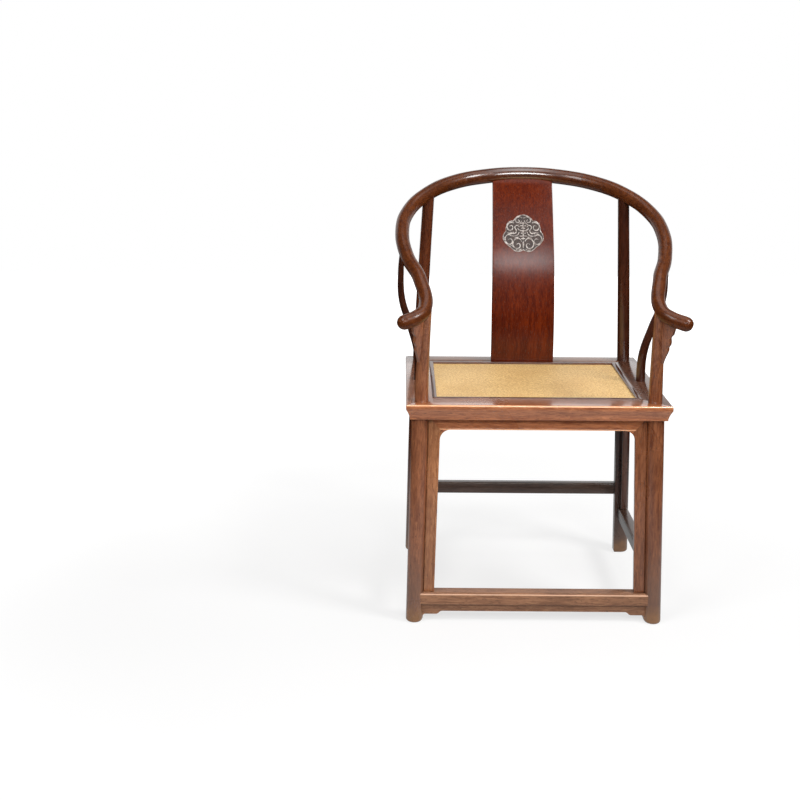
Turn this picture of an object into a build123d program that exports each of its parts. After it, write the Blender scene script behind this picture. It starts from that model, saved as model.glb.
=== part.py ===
from build123d import *
import os
from math import atan2, ceil, degrees

# Horseshoe back armchair of polished hardwood with a soft cane seat. Millimetres.
# X runs across the chair, Y from the front to the back, Z up; the middle of the seat is at X = Y = 0
# while the pieces are made, and the floor is at Z = 0. The right side is made and mirrored to the left.

# ---- seat frame: four mitred rails, the long ones tenoned through the side ones
SEAT_WIDTH = 592
SEAT_DEPTH = 468
SEAT_TOP = 518
RAIL_THICKNESS = 36
RAIL_WIDTH = 70
REBATE_WIDTH = 10
REBATE_DEPTH = 8
EDGE_ROUND = 4
EDGE_BAND = 11
LIP_INSET = 8.5
EDGE_HOLLOW = 0.4
LIP_HEIGHT = 4
CORNER_ROUND = 7
FRAME_TENON_THICKNESS = 12
FRAME_TENON_WIDTH = 38
FRAME_TENON_INSET = 15
FRAME_TENON_RISE = 11

# ---- soft seat: palm-fibre net, woven cane over it, cover strips pinned round it
WEB_THICKNESS = 2.4
WEB_STRAP = 6
WEB_PITCH = 32
CANE_THICKNESS = 1.6
STRIP_STEP = 5
STRIP_PROUD = 1
PIN_DIAMETER = 2.2
PIN_DEPTH = 7
PIN_PITCH = 110
BRACE_WIDTH = 30
BRACE_THICKNESS = 18
BRACE_BOW = 14
BRACE_DROP = 14
BRACE_SPACING = 170
BRACE_TENON = 15
BRACE_SHOULDER = 3

# ---- legs: square inside and round outside, splayed a little both ways
LEG_SIZE = 38
LEG_INSET_X = 31.5
LEG_INSET_Y = 33
LEG_SPLAY_X = 9.5
LEG_SPLAY_Y = 10
FOOT_ROUND = 6

# ---- posts above the seat, of one timber with the legs
POST_STEP = 3
POST_NECK = 8
FRONT_POST_BASE = 31.6
FRONT_POST_TOP = 24
FRONT_POST_BEND = 1.5
REAR_POST_BASE = 31.6
REAR_POST_TOP = 28.4
REAR_POST_BEND = 1.15
POST_TOP_INSET = 3.5
POST_SHARES = (0.3, 0.6, 0.85, 1.0)
SIDE_POST_Y = -8
SIDE_POST_INSET = 30.5
SIDE_POST_BASE = 22.5
SIDE_POST_TOP = 11.5
SIDE_POST_SWAY = [(0, 0), (0.2, 2), (0.4, 20), (0.59, 40.5), (0.79, 44)]
TENON_DIAMETER = 10
TENON_REACH = 3
TENON_ROOT = 30
FOOT_TENON = 16

# ---- crest rail: the right half's centre line from the middle of the back to the hand's end,
# as the distance from the middle, the distance behind the seat's middle, the rise above the seat,
# and the rail's diameter there; its plan is drawn over a seat of this width and depth
CREST_PLAN = (592, 468)
CREST_STATIONS = [
    (0, 298, 466.5, 37),
    (96, 286, 461.2, 37.5),
    (180, 242, 448.6, 37),
    (245, 174, 426.6, 35.5),
    (292, 96, 392.4, 34),
    (307, 6, 353, 33),
    (295, -82, 309, 32),
    (267, -167, 271, 31),
    (257, -246, 219, 30.5),
    (299.5, -288, 199, 33),
]
SHOULDER_JOINT = 2
REAR_POST_STATION = 3
SIDE_POST_STATION = 5
SIDE_POST_FORWARD = 0.45
HAND_JOINT = 6
NECK_STATION = 8
SCARF_LENGTH = 60
SCARF_REACH = 0.67
WEDGE_SIZE = 6.5

# ---- back splat with a carved medallion
SPLAT_WIDTH = 158
SPLAT_TOP_WIDTH = 152
SPLAT_THICKNESS = 11
SPLAT_INSET = 51
SPLAT_LINE = [(0.13, 2), (0.3, -3), (0.53, -21), (0.75, -58), (0.94, -95)]
SPLAT_TONGUE_THICKNESS = 6
SPLAT_TONGUE_SHOULDER = 9
SPLAT_TONGUE_DEPTH = 12
MEDALLION_RISE = 321
MEDALLION_WIDTH = 101
MEDALLION_HEIGHT = 90
MEDALLION_LOBES = [
    (0, 0.5), (0.15, 0.45), (0.245, 0.33), (0.39, 0.27), (0.44, 0.05), (0.5, -0.16), (0.32, -0.38),
    (0.17, -0.49), (0, -0.45),
]
MEDALLION_DEPTH = 1.6
MEDALLION_BAND = 4
SCROLL_RADIUS = 9
SCROLL_BAND = 3.4
SCROLL_RING = 30
SCROLL_COUNT = 6
SIGN_BAR = 3.2
SIGN_WIDTH = 22
SIGN_HEIGHT = 34

# ---- spandrels under the hands
SPANDREL_THICKNESS = 10
SPANDREL_TONGUE = 5
SPANDREL_GROOVE = 4
SPANDREL_LENGTH = 140
SPANDREL_EDGE = [
    (13, 0), (15.5, 12), (20, 32), (26, 47), (27, 59), (31, 63), (30.5, 82), (37, 91), (39, 98), (43, 116),
]

# ---- three-sided aprons that line the frames under the seat
APRON_THICKNESS = 11
APRON_RECESS = 15
APRON_DROP = 29
STILE_WIDTH = 26
STILE_TAPER = 1
APRON_CORNER = 24
APRON_BEAD = 4.5
BEAD_PROUD = 1.2
TONGUE_THICKNESS = 5
TONGUE_DEPTH = 4

# ---- stretchers
FOOTREST_TOP = 70
FOOTREST_HEIGHT = 28
FOOTREST_DEPTH = 35
FOOTREST_RECESS = 5
FOOTREST_BEAD = 5
FOOTREST_GROOVE = 2
SIDE_STRETCHER_TOP = 128
SIDE_STRETCHER_HEIGHT = 31
SIDE_STRETCHER_WIDTH = 26
BACK_STRETCHER_TOP = 188
BACK_STRETCHER_HEIGHT = 30
BACK_STRETCHER_WIDTH = 22
STRETCHER_RECESS = 6
STRETCHER_ROUND = 4
STRETCHER_TENON = 14
TENON_SHARE = 0.45
FOOT_APRON_THICKNESS = 9
FOOT_APRON_DROP = 17.7
FOOT_APRON_RECESS = 8
FOOT_BRACKET_DROP = 7.5
FOOT_BRACKET_LENGTH = 30
FOOT_BRACKET_STEP = 16
FOOT_TOE_DROP = 9
FOOT_TOE_WIDTH = 5

# ---- fits
FIT = 0.1

# ---- how the curved pieces are drawn: the spacing of their sections, and the side of their seams
STEP = 22
SPLAT_STEP = 36
CREST_SEAM = (0.3, 0.25, -1)
POST_SEAM = (-1, 0.5, 0)

HALF_WIDTH = SEAT_WIDTH / 2
HALF_DEPTH = SEAT_DEPTH / 2
LEG_TOP = SEAT_TOP - RAIL_THICKNESS
REBATE_FLOOR = SEAT_TOP - REBATE_DEPTH
RADIUS = LEG_SIZE / 2
FAR = 2 * (SEAT_WIDTH + SEAT_DEPTH)


# ---- shared shapes
class Member:
    """A round piece that follows a smooth line through its stations and swells or thins along it.

    The seam is the side of the piece on which its round sections start and end.
    """

    def __init__(self, stations, seam):
        self.line = Spline(*[Vector(x, y, z) for x, y, z, _ in stations])
        self.seam = Vector(*seam)
        self.marks = [self.line.param_at_point(Vector(x, y, z)) for x, y, z, _ in stations]
        self.diameters = [station[3] for station in stations]

    def diameter(self, at):
        spans = zip(self.marks, self.marks[1:], self.diameters, self.diameters[1:])
        for low, high, first, last in spans:
            if at <= high:
                return first + (last - first) * (at - low) / (high - low)
        return self.diameters[-1]

    def plane(self, at):
        tangent = self.line % at
        x_dir = self.seam - tangent * self.seam.dot(tangent)
        return Plane(origin=self.line @ at, x_dir=x_dir, z_dir=tangent)

    def body(self, start, stop, grow=0.0, rounded=False):
        """The solid from start to stop, grown by a clearance, with a ball end where it is rounded."""
        count = max(2, ceil((stop - start) * self.line.length / STEP))
        ats = [start + (stop - start) * i / count for i in range(count + 1)]
        solid = loft([self.plane(at) * Circle(self.diameter(at) / 2 + grow) for at in ats])
        if rounded:
            solid = solid + self.plane(stop) * Sphere(self.diameter(stop) / 2 + grow)
        return solid


def block(x0, x1, y0, y1, z0, z1):
    return Pos((x0 + x1) / 2, (y0 + y1) / 2, (z0 + z1) / 2) * Box(abs(x1 - x0), abs(y1 - y0), abs(z1 - z0))


def slab(points, z0, z1):
    """A prism on a plan outline."""
    return extrude(Pos(0, 0, z0) * make_face(Polyline(*points, close=True)), z1 - z0)


def above(z):
    return block(-FAR, FAR, -FAR, FAR, z, FAR)


def below(z):
    return block(-FAR, FAR, -FAR, FAR, -FAR, z)


def mirrored(shape):
    return mirror(shape, about=Plane.YZ)


# ---- legs and posts
def leg_centre(z, side):
    """Centre of the right-hand leg at a height; side is -1 at the front and 1 at the back."""
    share = 1 - z / LEG_TOP
    x = HALF_WIDTH - LEG_INSET_X + LEG_SPLAY_X * share
    y = HALF_DEPTH - LEG_INSET_Y + LEG_SPLAY_Y * share
    return Vector(x, side * y, z)


def leg_body(side, grow=0.0):
    """The lower leg: a round with a square quarter towards the chair's middle."""
    radius = RADIUS + grow
    sections = []
    for z in (0, LEG_TOP):
        quarter = Pos(-radius / 2, -side * radius / 2) * Rectangle(radius, radius)
        sections.append(Pos(leg_centre(z, side)) * (Circle(radius) + quarter))
    return loft(sections, ruled=True)


def leaning_post(side, top, base_size, top_size, bend):
    """Post line from the leg's top: upright at the seat and leaning more and more above it."""
    foot = leg_centre(LEG_TOP, side) - Vector(POST_STEP, 0, 0)
    rise = top.Z - SEAT_TOP
    stations = [(foot.X, foot.Y, LEG_TOP - POST_NECK, base_size), (foot.X, foot.Y, SEAT_TOP, base_size)]
    for share in POST_SHARES:
        lean = share**bend
        size = base_size + (top_size - base_size) * share
        x = foot.X + (top.X - foot.X) * lean
        y = foot.Y + (top.Y - foot.Y) * lean
        stations.append((x, y, SEAT_TOP + rise * share, size))
    return Member(stations, POST_SEAM)


def top_tenon(post, grow=0.0):
    """Round tenon on a post's top, in line with it."""
    end = post.plane(1.0)
    middle = Pos(0, 0, (TENON_REACH - TENON_ROOT) / 2)
    return end * middle * Cylinder(TENON_DIAMETER / 2 + grow, TENON_REACH + TENON_ROOT + 2 * grow)


# ---- seat frame
def rail_profile(plane, length):
    """A seat rail's bar: moulded outer edge at local x = 0, rebate for the cane at the inner top edge."""
    top = SEAT_TOP
    band = top - EDGE_BAND
    lip = LEG_TOP + LIP_HEIGHT
    inner = RAIL_WIDTH - REBATE_WIDTH
    hollow = (LIP_INSET * EDGE_HOLLOW, (band + lip) / 2)
    edge = (
        RadiusArc((EDGE_ROUND, top), (0, top - EDGE_ROUND), -EDGE_ROUND)
        + Line((0, top - EDGE_ROUND), (0, band))
        + ThreePointArc((0, band), hollow, (LIP_INSET, lip))
        + Polyline((LIP_INSET, lip), (LIP_INSET, LEG_TOP), (RAIL_WIDTH, LEG_TOP), (RAIL_WIDTH, REBATE_FLOOR))
        + Polyline((RAIL_WIDTH, REBATE_FLOOR), (inner, REBATE_FLOOR), (inner, top), (EDGE_ROUND, top))
    )
    return extrude(plane * make_face(edge), length / 2, both=True)


def rounded_plan():
    """The seat frame's plan with its corners eased, clear of the straight edges."""
    outline = RectangleRounded(SEAT_WIDTH + 2 * FIT, SEAT_DEPTH + 2 * FIT, CORNER_ROUND)
    return Pos(0, 0, LEG_TOP) * extrude(outline, RAIL_THICKNESS)


def ring_side(outer, inner, across, z0, z1):
    """One mitred side of a rectangular ring between two insets: the front one, or the right one."""
    x0, x1 = HALF_WIDTH - outer, HALF_WIDTH - inner
    y0, y1 = HALF_DEPTH - outer, HALF_DEPTH - inner
    if across:
        points = [(-x0, -y0), (x0, -y0), (x1, -y1), (-x1, -y1)]
    else:
        points = [(x0, -y0), (x0, y0), (x1, y1), (x1, -y1)]
    return slab(points, z0, z1)


def frame_tenon(grow=0.0):
    """The front rail's through tenon at its right end, before it is trimmed to the side rail's edge."""
    low = LEG_TOP + FRAME_TENON_RISE - grow
    high = LEG_TOP + FRAME_TENON_RISE + FRAME_TENON_THICKNESS + grow
    near = -HALF_DEPTH + FRAME_TENON_INSET - grow
    far = -HALF_DEPTH + FRAME_TENON_INSET + FRAME_TENON_WIDTH + grow
    return block(HALF_WIDTH - RAIL_WIDTH - grow, HALF_WIDTH + grow, near, far, low, high)


front_bar = rail_profile(Plane(origin=(0, -HALF_DEPTH, 0), x_dir=(0, 1, 0), z_dir=(1, 0, 0)), SEAT_WIDTH)
right_bar = rail_profile(Plane(origin=(HALF_WIDTH, 0, 0), x_dir=(-1, 0, 0), z_dir=(0, 1, 0)), SEAT_DEPTH)
plan = rounded_plan()
right_tenon = frame_tenon() & right_bar & plan
front_rail = (front_bar & ring_side(0, RAIL_WIDTH, True, LEG_TOP, SEAT_TOP) & plan) + right_tenon
front_rail = front_rail + mirrored(right_tenon)
right_rail = right_bar & ring_side(0, RAIL_WIDTH, False, LEG_TOP, SEAT_TOP) & plan
right_rail = right_rail - frame_tenon(FIT) - mirror(frame_tenon(FIT), about=Plane.XZ)
back_rail = mirror(front_rail, about=Plane.XZ)

# ---- crest rail
spread_x = SEAT_WIDTH / CREST_PLAN[0]
spread_y = SEAT_DEPTH / CREST_PLAN[1]
crest_right = [(x * spread_x, y * spread_y, SEAT_TOP + rise, size) for x, y, rise, size in CREST_STATIONS]
crest_left = [(-x, y, z, size) for x, y, z, size in crest_right[:0:-1]]
crest = Member(crest_left + crest_right, CREST_SEAM)
MIDDLE = len(crest_left)


def crest_at(station):
    return crest.marks[MIDDLE + station]


def scarf_plane(station):
    """Lap plane of a scarf joint: X along the rail, Y across it, Z up from the lap."""
    at = crest_at(station)
    tangent = crest.line % at
    across = Vector(0, 0, 1).cross(tangent)
    return Plane(origin=crest.line @ at, x_dir=tangent, z_dir=tangent.cross(across))


def scarf_cut(station, later):
    """What the lap takes off a section: the upper half of the earlier one, the lower of the later one."""
    half = SCARF_LENGTH / 2
    reach = crest.diameter(crest_at(station))
    if later:
        lap = block(-SCARF_LENGTH, half, -reach, reach, -reach, 0)
        end = block(-SCARF_LENGTH, -half, -reach, reach, -reach, reach)
    else:
        lap = block(-half, SCARF_LENGTH, -reach, reach, 0, reach)
        end = block(half, SCARF_LENGTH, -reach, reach, -reach, reach)
    return scarf_plane(station) * (lap + end)


def scarf_wedge(station, grow=0.0):
    """Square wedge driven across the lap, half in each section."""
    size = WEDGE_SIZE + 2 * grow
    return scarf_plane(station) * Box(size, 2 * crest.diameter(crest_at(station)), size)


OVERRUN = SCARF_LENGTH * SCARF_REACH / crest.line.length
shoulder_at = crest_at(SHOULDER_JOINT)
hand_at = crest_at(HAND_JOINT)
crest_centre = crest.body(1 - shoulder_at - OVERRUN, shoulder_at + OVERRUN)
centre_cut = scarf_cut(SHOULDER_JOINT, False)
crest_centre = crest_centre - centre_cut - mirrored(centre_cut)
crest_shoulder = crest.body(shoulder_at - OVERRUN, hand_at + OVERRUN)
crest_shoulder = crest_shoulder - scarf_cut(SHOULDER_JOINT, True) - scarf_cut(HAND_JOINT, False)
crest_hand = crest.body(hand_at - OVERRUN, 1.0, rounded=True) - scarf_cut(HAND_JOINT, True)
fat_hand = crest.body(hand_at, 1.0, grow=FIT, rounded=True)
fat_shoulder = crest.body(shoulder_at, hand_at, grow=FIT)

wedges = []
for station in (SHOULDER_JOINT, HAND_JOINT):
    at = crest_at(station)
    wedge = scarf_wedge(station) & crest.body(at - OVERRUN / 2, at + OVERRUN / 2)
    wedges += [wedge, mirrored(wedge)]
shoulder_slot = scarf_wedge(SHOULDER_JOINT, FIT)
hand_slot = scarf_wedge(HAND_JOINT, FIT)
crest_centre = crest_centre - shoulder_slot - mirrored(shoulder_slot)
crest_shoulder = crest_shoulder - shoulder_slot - hand_slot
crest_hand = crest_hand - hand_slot

# ---- posts, coped to the rail and tenoned into it
inset = Vector(POST_TOP_INSET, 0, 0)
front_top = crest.line @ crest_at(NECK_STATION) - inset
rear_top = crest.line @ crest_at(REAR_POST_STATION) - inset
front_post = leaning_post(-1, front_top, FRONT_POST_BASE, FRONT_POST_TOP, FRONT_POST_BEND)
rear_post = leaning_post(1, rear_top, REAR_POST_BASE, REAR_POST_TOP, REAR_POST_BEND)
side_post_at = crest_at(SIDE_POST_STATION)
side_post_at += (crest_at(SIDE_POST_STATION + 1) - side_post_at) * SIDE_POST_FORWARD
side_top = crest.line @ side_post_at
side_rise = side_top.Z - SEAT_TOP
side_foot_x = HALF_WIDTH - SIDE_POST_INSET
side_stations = [(side_foot_x, SIDE_POST_Y, SEAT_TOP - POST_NECK, SIDE_POST_BASE)]
for share, sway in SIDE_POST_SWAY:
    y = SIDE_POST_Y + (side_top.Y - SIDE_POST_Y) * share
    size = SIDE_POST_BASE + (SIDE_POST_TOP - SIDE_POST_BASE) * share
    side_stations.append((side_foot_x + sway, y, SEAT_TOP + side_rise * share, size))
side_stations.append((side_top.X, side_top.Y, side_top.Z, SIDE_POST_TOP))
side_post = Member(side_stations, POST_SEAM)


def side_foot_tenon(grow=0.0):
    middle = Pos(side_foot_x, SIDE_POST_Y, SEAT_TOP - FOOT_TENON / 2)
    return middle * Cylinder(TENON_DIAMETER / 2 + grow, FOOT_TENON + 2 * grow)


front_leg = leg_body(-1)
front_leg = fillet(front_leg.faces().sort_by(Axis.Z)[0].edges(), FOOT_ROUND)
front_leg = front_leg + (front_post.body(0, 1) - fat_hand)
rear_leg = leg_body(1)
rear_leg = fillet(rear_leg.faces().sort_by(Axis.Z)[0].edges(), FOOT_ROUND)
rear_leg = rear_leg + (rear_post.body(0, 1) - fat_shoulder) + top_tenon(rear_post)
side_piece = (side_post.body(0, 1) - fat_shoulder - below(SEAT_TOP)) + top_tenon(side_post) + side_foot_tenon()
crest_hand = crest_hand - top_tenon(front_post, FIT)
crest_shoulder = crest_shoulder - top_tenon(rear_post, FIT) - top_tenon(side_post, FIT)

front_hole = front_post.body(0, 0.5, grow=FIT)
rear_hole = rear_post.body(0, 0.5, grow=FIT)
front_rail = front_rail - front_hole - mirrored(front_hole)
back_rail = back_rail - rear_hole - mirrored(rear_hole)
right_rail = right_rail - front_hole - rear_hole - side_foot_tenon(FIT)


# ---- spandrel under the hand, in the plane of the post and the hand
hand_end = crest.line @ 1.0
post_foot = front_post.line @ front_post.marks[-3]
post_up = (front_top - post_foot).normalized()
neck_point = crest.line @ crest_at(NECK_STATION)
outward = Vector(hand_end.X - neck_point.X, hand_end.Y - neck_point.Y, 0)
outward = (outward - post_up * outward.dot(post_up)).normalized()
spandrel_foot = front_top - post_up * SPANDREL_LENGTH
spandrel_plane = Plane(origin=spandrel_foot, x_dir=outward, z_dir=outward.cross(post_up))
hand_spot = spandrel_plane.to_local_coords(hand_end)
hand_fall = (SPANDREL_LENGTH - hand_spot.Y) / hand_spot.X


def spandrel_board(thickness, start):
    """A board from the post's axis out to the cusped edge; its top lies in the hand, along its middle."""
    reach = SPANDREL_EDGE[-1][0]
    top = [(x, SPANDREL_LENGTH - hand_fall * x) for x in (reach, start)]
    outline = [(start, 0)] + SPANDREL_EDGE + top
    return extrude(spandrel_plane * make_face(Polyline(*outline, close=True)), thickness / 2, both=True)


fat_post = front_post.body(0.2, 1, grow=FIT)
groove_floor = FRONT_POST_TOP / 2 - SPANDREL_GROOVE
spandrel = spandrel_board(SPANDREL_THICKNESS, 0) - fat_post - fat_hand
tongue = spandrel_board(SPANDREL_TONGUE, groove_floor) - fat_hand
spandrel = spandrel + tongue
front_leg = front_leg - spandrel_board(SPANDREL_TONGUE + 2 * FIT, groove_floor - FIT)
front_leg = front_leg + top_tenon(front_post)


# ---- stretchers, tenoned into the legs
def rounded_bar(width, height, length, edge):
    """A bar along X with rounded long edges, centred on the origin."""
    return extrude(Plane.YZ * RectangleRounded(width, height, edge), length / 2, both=True)


fat_front_leg = leg_body(-1, FIT)
fat_rear_leg = leg_body(1, FIT)
fat_front_legs = fat_front_leg + mirrored(fat_front_leg)
fat_rear_legs = fat_rear_leg + mirrored(fat_rear_leg)


def cross_bar(side, middle_y, top, height, width):
    """A stretcher across the chair at the front or back, as its visible bar and its tenons."""
    z = top - height / 2
    centre = leg_centre(z, side)
    legs = fat_front_legs if side < 0 else fat_rear_legs
    bar = Pos(0, middle_y, z) * rounded_bar(width, height, 2 * centre.X, STRETCHER_ROUND)
    return bar - legs, (centre.X - RADIUS + STRETCHER_TENON, centre.Y, z)


def cross_tenon(reach, height, width, grow=0.0):
    x, y, z = reach
    half_y = width * TENON_SHARE / 2 + grow
    half_z = height * TENON_SHARE / 2 + grow
    return block(-x - grow, x + grow, y - half_y, y + half_y, z - half_z, z + half_z)


footrest_z = FOOTREST_TOP - FOOTREST_HEIGHT / 2
footrest_face = leg_centre(footrest_z, -1).Y - RADIUS + FOOTREST_RECESS
footrest_y = footrest_face + FOOTREST_DEPTH / 2
footrest_bar, footrest_reach = cross_bar(-1, footrest_y, FOOTREST_TOP, FOOTREST_HEIGHT, FOOTREST_DEPTH)
footrest_groove = Rot(45, 0, 0) * Box(FAR, FOOTREST_GROOVE, FOOTREST_GROOVE)
footrest_groove = Pos(0, footrest_face + FOOTREST_BEAD, FOOTREST_TOP) * footrest_groove
front_stretcher = footrest_bar - footrest_groove
front_stretcher = front_stretcher + cross_tenon(footrest_reach, FOOTREST_HEIGHT, FOOTREST_DEPTH)
front_leg = front_leg - cross_tenon(footrest_reach, FOOTREST_HEIGHT, FOOTREST_DEPTH, FIT)

back_z = BACK_STRETCHER_TOP - BACK_STRETCHER_HEIGHT / 2
back_y = leg_centre(back_z, 1).Y + RADIUS - STRETCHER_RECESS - BACK_STRETCHER_WIDTH / 2
back_bar, back_reach = cross_bar(1, back_y, BACK_STRETCHER_TOP, BACK_STRETCHER_HEIGHT, BACK_STRETCHER_WIDTH)
back_stretcher = back_bar + cross_tenon(back_reach, BACK_STRETCHER_HEIGHT, BACK_STRETCHER_WIDTH)
rear_leg = rear_leg - cross_tenon(back_reach, BACK_STRETCHER_HEIGHT, BACK_STRETCHER_WIDTH, FIT)


def side_tenon(grow=0.0):
    """Tenons at both ends of a side stretcher, in one bar."""
    centre = leg_centre(side_z, 1)
    half_x = SIDE_STRETCHER_WIDTH * TENON_SHARE / 2 + grow
    half_z = SIDE_STRETCHER_HEIGHT * TENON_SHARE / 2 + grow
    y = centre.Y - RADIUS + STRETCHER_TENON + grow
    return block(side_x - half_x, side_x + half_x, -y, y, side_z - half_z, side_z + half_z)


side_z = SIDE_STRETCHER_TOP - SIDE_STRETCHER_HEIGHT / 2
side_x = leg_centre(side_z, 1).X + RADIUS - STRETCHER_RECESS - SIDE_STRETCHER_WIDTH / 2
side_length = 2 * leg_centre(side_z, 1).Y
side_bar = Rot(0, 0, 90) * rounded_bar(SIDE_STRETCHER_WIDTH, SIDE_STRETCHER_HEIGHT, side_length, STRETCHER_ROUND)
side_stretcher = (Pos(side_x, 0, side_z) * side_bar) - fat_front_leg - fat_rear_leg + side_tenon()
front_leg = front_leg - side_tenon(FIT)
rear_leg = rear_leg - side_tenon(FIT)


# ---- aprons
def apron_place(across, side):
    """The sloping plane of the apron frame between two legs, and half the opening's width at its ends.

    across is True at the front or back and False at the right; side is -1 at the front.
    """
    top = leg_centre(LEG_TOP, side)
    foot = leg_centre(0, side)
    back_set = RADIUS - APRON_RECESS - APRON_THICKNESS / 2
    if across:
        upward = Vector(0, top.Y - foot.Y, LEG_TOP)
        x_dir = Vector(-side, 0, 0)
        middle = (0, top.Y + side * back_set, LEG_TOP)
        half_top, half_foot = top.X - RADIUS, foot.X - RADIUS
    else:
        upward = Vector(top.X - foot.X, 0, LEG_TOP)
        x_dir = Vector(0, 1, 0)
        middle = (top.X + back_set, 0, LEG_TOP)
        half_top, half_foot = abs(top.Y) - RADIUS, abs(foot.Y) - RADIUS
    return Plane(origin=middle, x_dir=x_dir, z_dir=x_dir.cross(upward)), half_top, half_foot


def opening_face(half_top, half_foot, grow):
    """The opening between two splayed legs, grown at both sides, from the seat's top to the floor."""
    slope = (half_foot - half_top) / LEG_TOP
    high = half_top - slope * RAIL_THICKNESS + grow
    low = half_foot + grow
    corners = [(-high, RAIL_THICKNESS), (high, RAIL_THICKNESS), (low, -LEG_TOP), (-low, -LEG_TOP)]
    return make_face(Polyline(*corners, close=True))


def apron_pieces(across, side, floor, legs):
    """The top apron, its two stiles, and the fat tongue that cuts the grooves round them."""
    plane, half_top, half_foot = apron_place(across, side)
    inner_top = half_top - STILE_WIDTH
    inner_foot = half_foot - STILE_WIDTH + STILE_TAPER
    upper = [(-inner_top, -APRON_DROP), (inner_top, -APRON_DROP)]
    corners = upper + [(inner_foot, -LEG_TOP), (-inner_foot, -LEG_TOP)]
    hollow = make_face(Polyline(*corners, close=True))
    hollow = fillet(hollow.vertices().sort_by(Axis.Y)[-2:], APRON_CORNER)
    wide = opening_face(half_top, half_foot, RADIUS)
    board = extrude(plane * (wide - hollow), APRON_THICKNESS / 2, both=True)
    bead_face = Pos(0, 0, APRON_THICKNESS / 2) * (offset(hollow, APRON_BEAD) - hollow)
    board = board + extrude(plane * bead_face, BEAD_PROUD)
    board = board - legs - above(LEG_TOP) - below(floor)
    edge = opening_face(half_top, half_foot, TONGUE_DEPTH)
    tongue = extrude(plane * (edge - hollow), TONGUE_THICKNESS / 2, both=True)
    tongue = tongue - above(LEG_TOP + TONGUE_DEPTH) - below(floor)
    fat_edge = opening_face(half_top, half_foot, TONGUE_DEPTH + FIT)
    groove = extrude(plane * (fat_edge - hollow), TONGUE_THICKNESS / 2 + FIT, both=True)
    groove = groove - above(LEG_TOP + TONGUE_DEPTH + FIT) - below(floor - FIT)
    whole = board + tongue
    outer = (2 * half_top - inner_top, APRON_DROP)
    mitre = [(-outer[0], outer[1]), outer, (inner_top, -APRON_DROP), (-inner_top, -APRON_DROP)]
    wedge = extrude(plane * make_face(Polyline(*mitre, close=True)), APRON_THICKNESS, both=True)
    return whole & wedge, whole - wedge, groove


def largest(shape, axis):
    """The solid that lies furthest along an axis."""
    return shape.solids().sort_by(axis)[-1]


front_top_apron, stiles, front_groove = apron_pieces(True, -1, FOOTREST_TOP, fat_front_legs)
front_stile = largest(stiles, Axis.X)
fat_right_legs = fat_front_leg + fat_rear_leg
side_top_apron, stiles, side_groove = apron_pieces(False, 1, SIDE_STRETCHER_TOP, fat_right_legs)
side_stile_rear = largest(stiles, Axis.Y)
side_stile_front = largest(stiles, -Axis.Y)

back_plane, back_half_top, back_half_foot = apron_place(True, 1)
back_band = Pos(0, (RAIL_THICKNESS - APRON_DROP) / 2) * Rectangle(FAR, RAIL_THICKNESS + APRON_DROP)


def back_board(grow, thickness, sink):
    """A layer of the plain back apron between the legs, let down by a clearance."""
    face = opening_face(back_half_top, back_half_foot, grow) & (Pos(0, -sink) * back_band)
    return extrude(back_plane * face, thickness / 2, both=True)


back_apron = back_board(RADIUS, APRON_THICKNESS, 0) - fat_rear_legs - above(LEG_TOP)
back_apron = back_apron + (back_board(TONGUE_DEPTH, TONGUE_THICKNESS, 0) - above(LEG_TOP + TONGUE_DEPTH))
back_groove = back_board(TONGUE_DEPTH + FIT, TONGUE_THICKNESS + 2 * FIT, FIT)
back_groove = back_groove - above(LEG_TOP + TONGUE_DEPTH + FIT)

front_leg = front_leg - front_groove - side_groove
rear_leg = rear_leg - side_groove - back_groove
front_rail = front_rail - front_groove - side_groove - mirrored(side_groove)
back_rail = back_rail - back_groove - side_groove - mirrored(side_groove)
right_rail = right_rail - front_groove - back_groove - side_groove

# ---- apron under the footrest, with stepped brackets at its ends
foot_half = leg_centre(0, -1).X
foot_under = FOOTREST_TOP - FOOTREST_HEIGHT
foot_low = foot_under - FOOT_APRON_DROP
bracket_low = foot_low - FOOT_BRACKET_DROP
toe_low = bracket_low - FOOT_TOE_DROP
toe_out = foot_half - RADIUS
toe_in = toe_out - FOOT_TOE_WIDTH
bracket_in = toe_out - FOOT_BRACKET_LENGTH
bracket_middle = (bracket_in - FOOT_BRACKET_STEP / 2, (bracket_low + foot_low) / 2)


def foot_end():
    """Lower edge of the right half of the footrest's apron, from its middle out to the leg."""
    ogee_start = (bracket_in - FOOT_BRACKET_STEP, foot_low)
    toe_corner = (toe_in, bracket_low)
    return [
        Line((0, foot_low), ogee_start),
        TangentArc(ogee_start, bracket_middle, tangent=(1, 0)),
        TangentArc((bracket_in, bracket_low), bracket_middle, tangent=(-1, 0)),
        Line((bracket_in, bracket_low), toe_corner),
        TangentArc(toe_corner, (toe_out, toe_low), tangent=(1, 0)),
        Polyline((toe_out, toe_low), (foot_half, toe_low), (foot_half, foot_under), (0, foot_under)),
    ]


foot_right = make_face(Curve() + foot_end() + Line((0, foot_under), (0, foot_low)))
foot_face = foot_right + mirror(foot_right, about=Plane.YZ)
foot_front = footrest_face + FOOT_APRON_RECESS
foot_plane = Plane(origin=(0, foot_front + FOOT_APRON_THICKNESS / 2, 0), x_dir=(1, 0, 0), z_dir=(0, -1, 0))
foot_board = extrude(foot_plane * foot_face, FOOT_APRON_THICKNESS / 2, both=True) - fat_front_legs
footrest_apron = foot_board.solids().sort_by(SortBy.VOLUME)[-1]

# ---- splat: a shaped board between the back rail and the crest rail
splat_top = crest.line @ 0.5
splat_rise = splat_top.Z - SEAT_TOP
splat_foot_y = HALF_DEPTH - SPLAT_INSET


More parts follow.
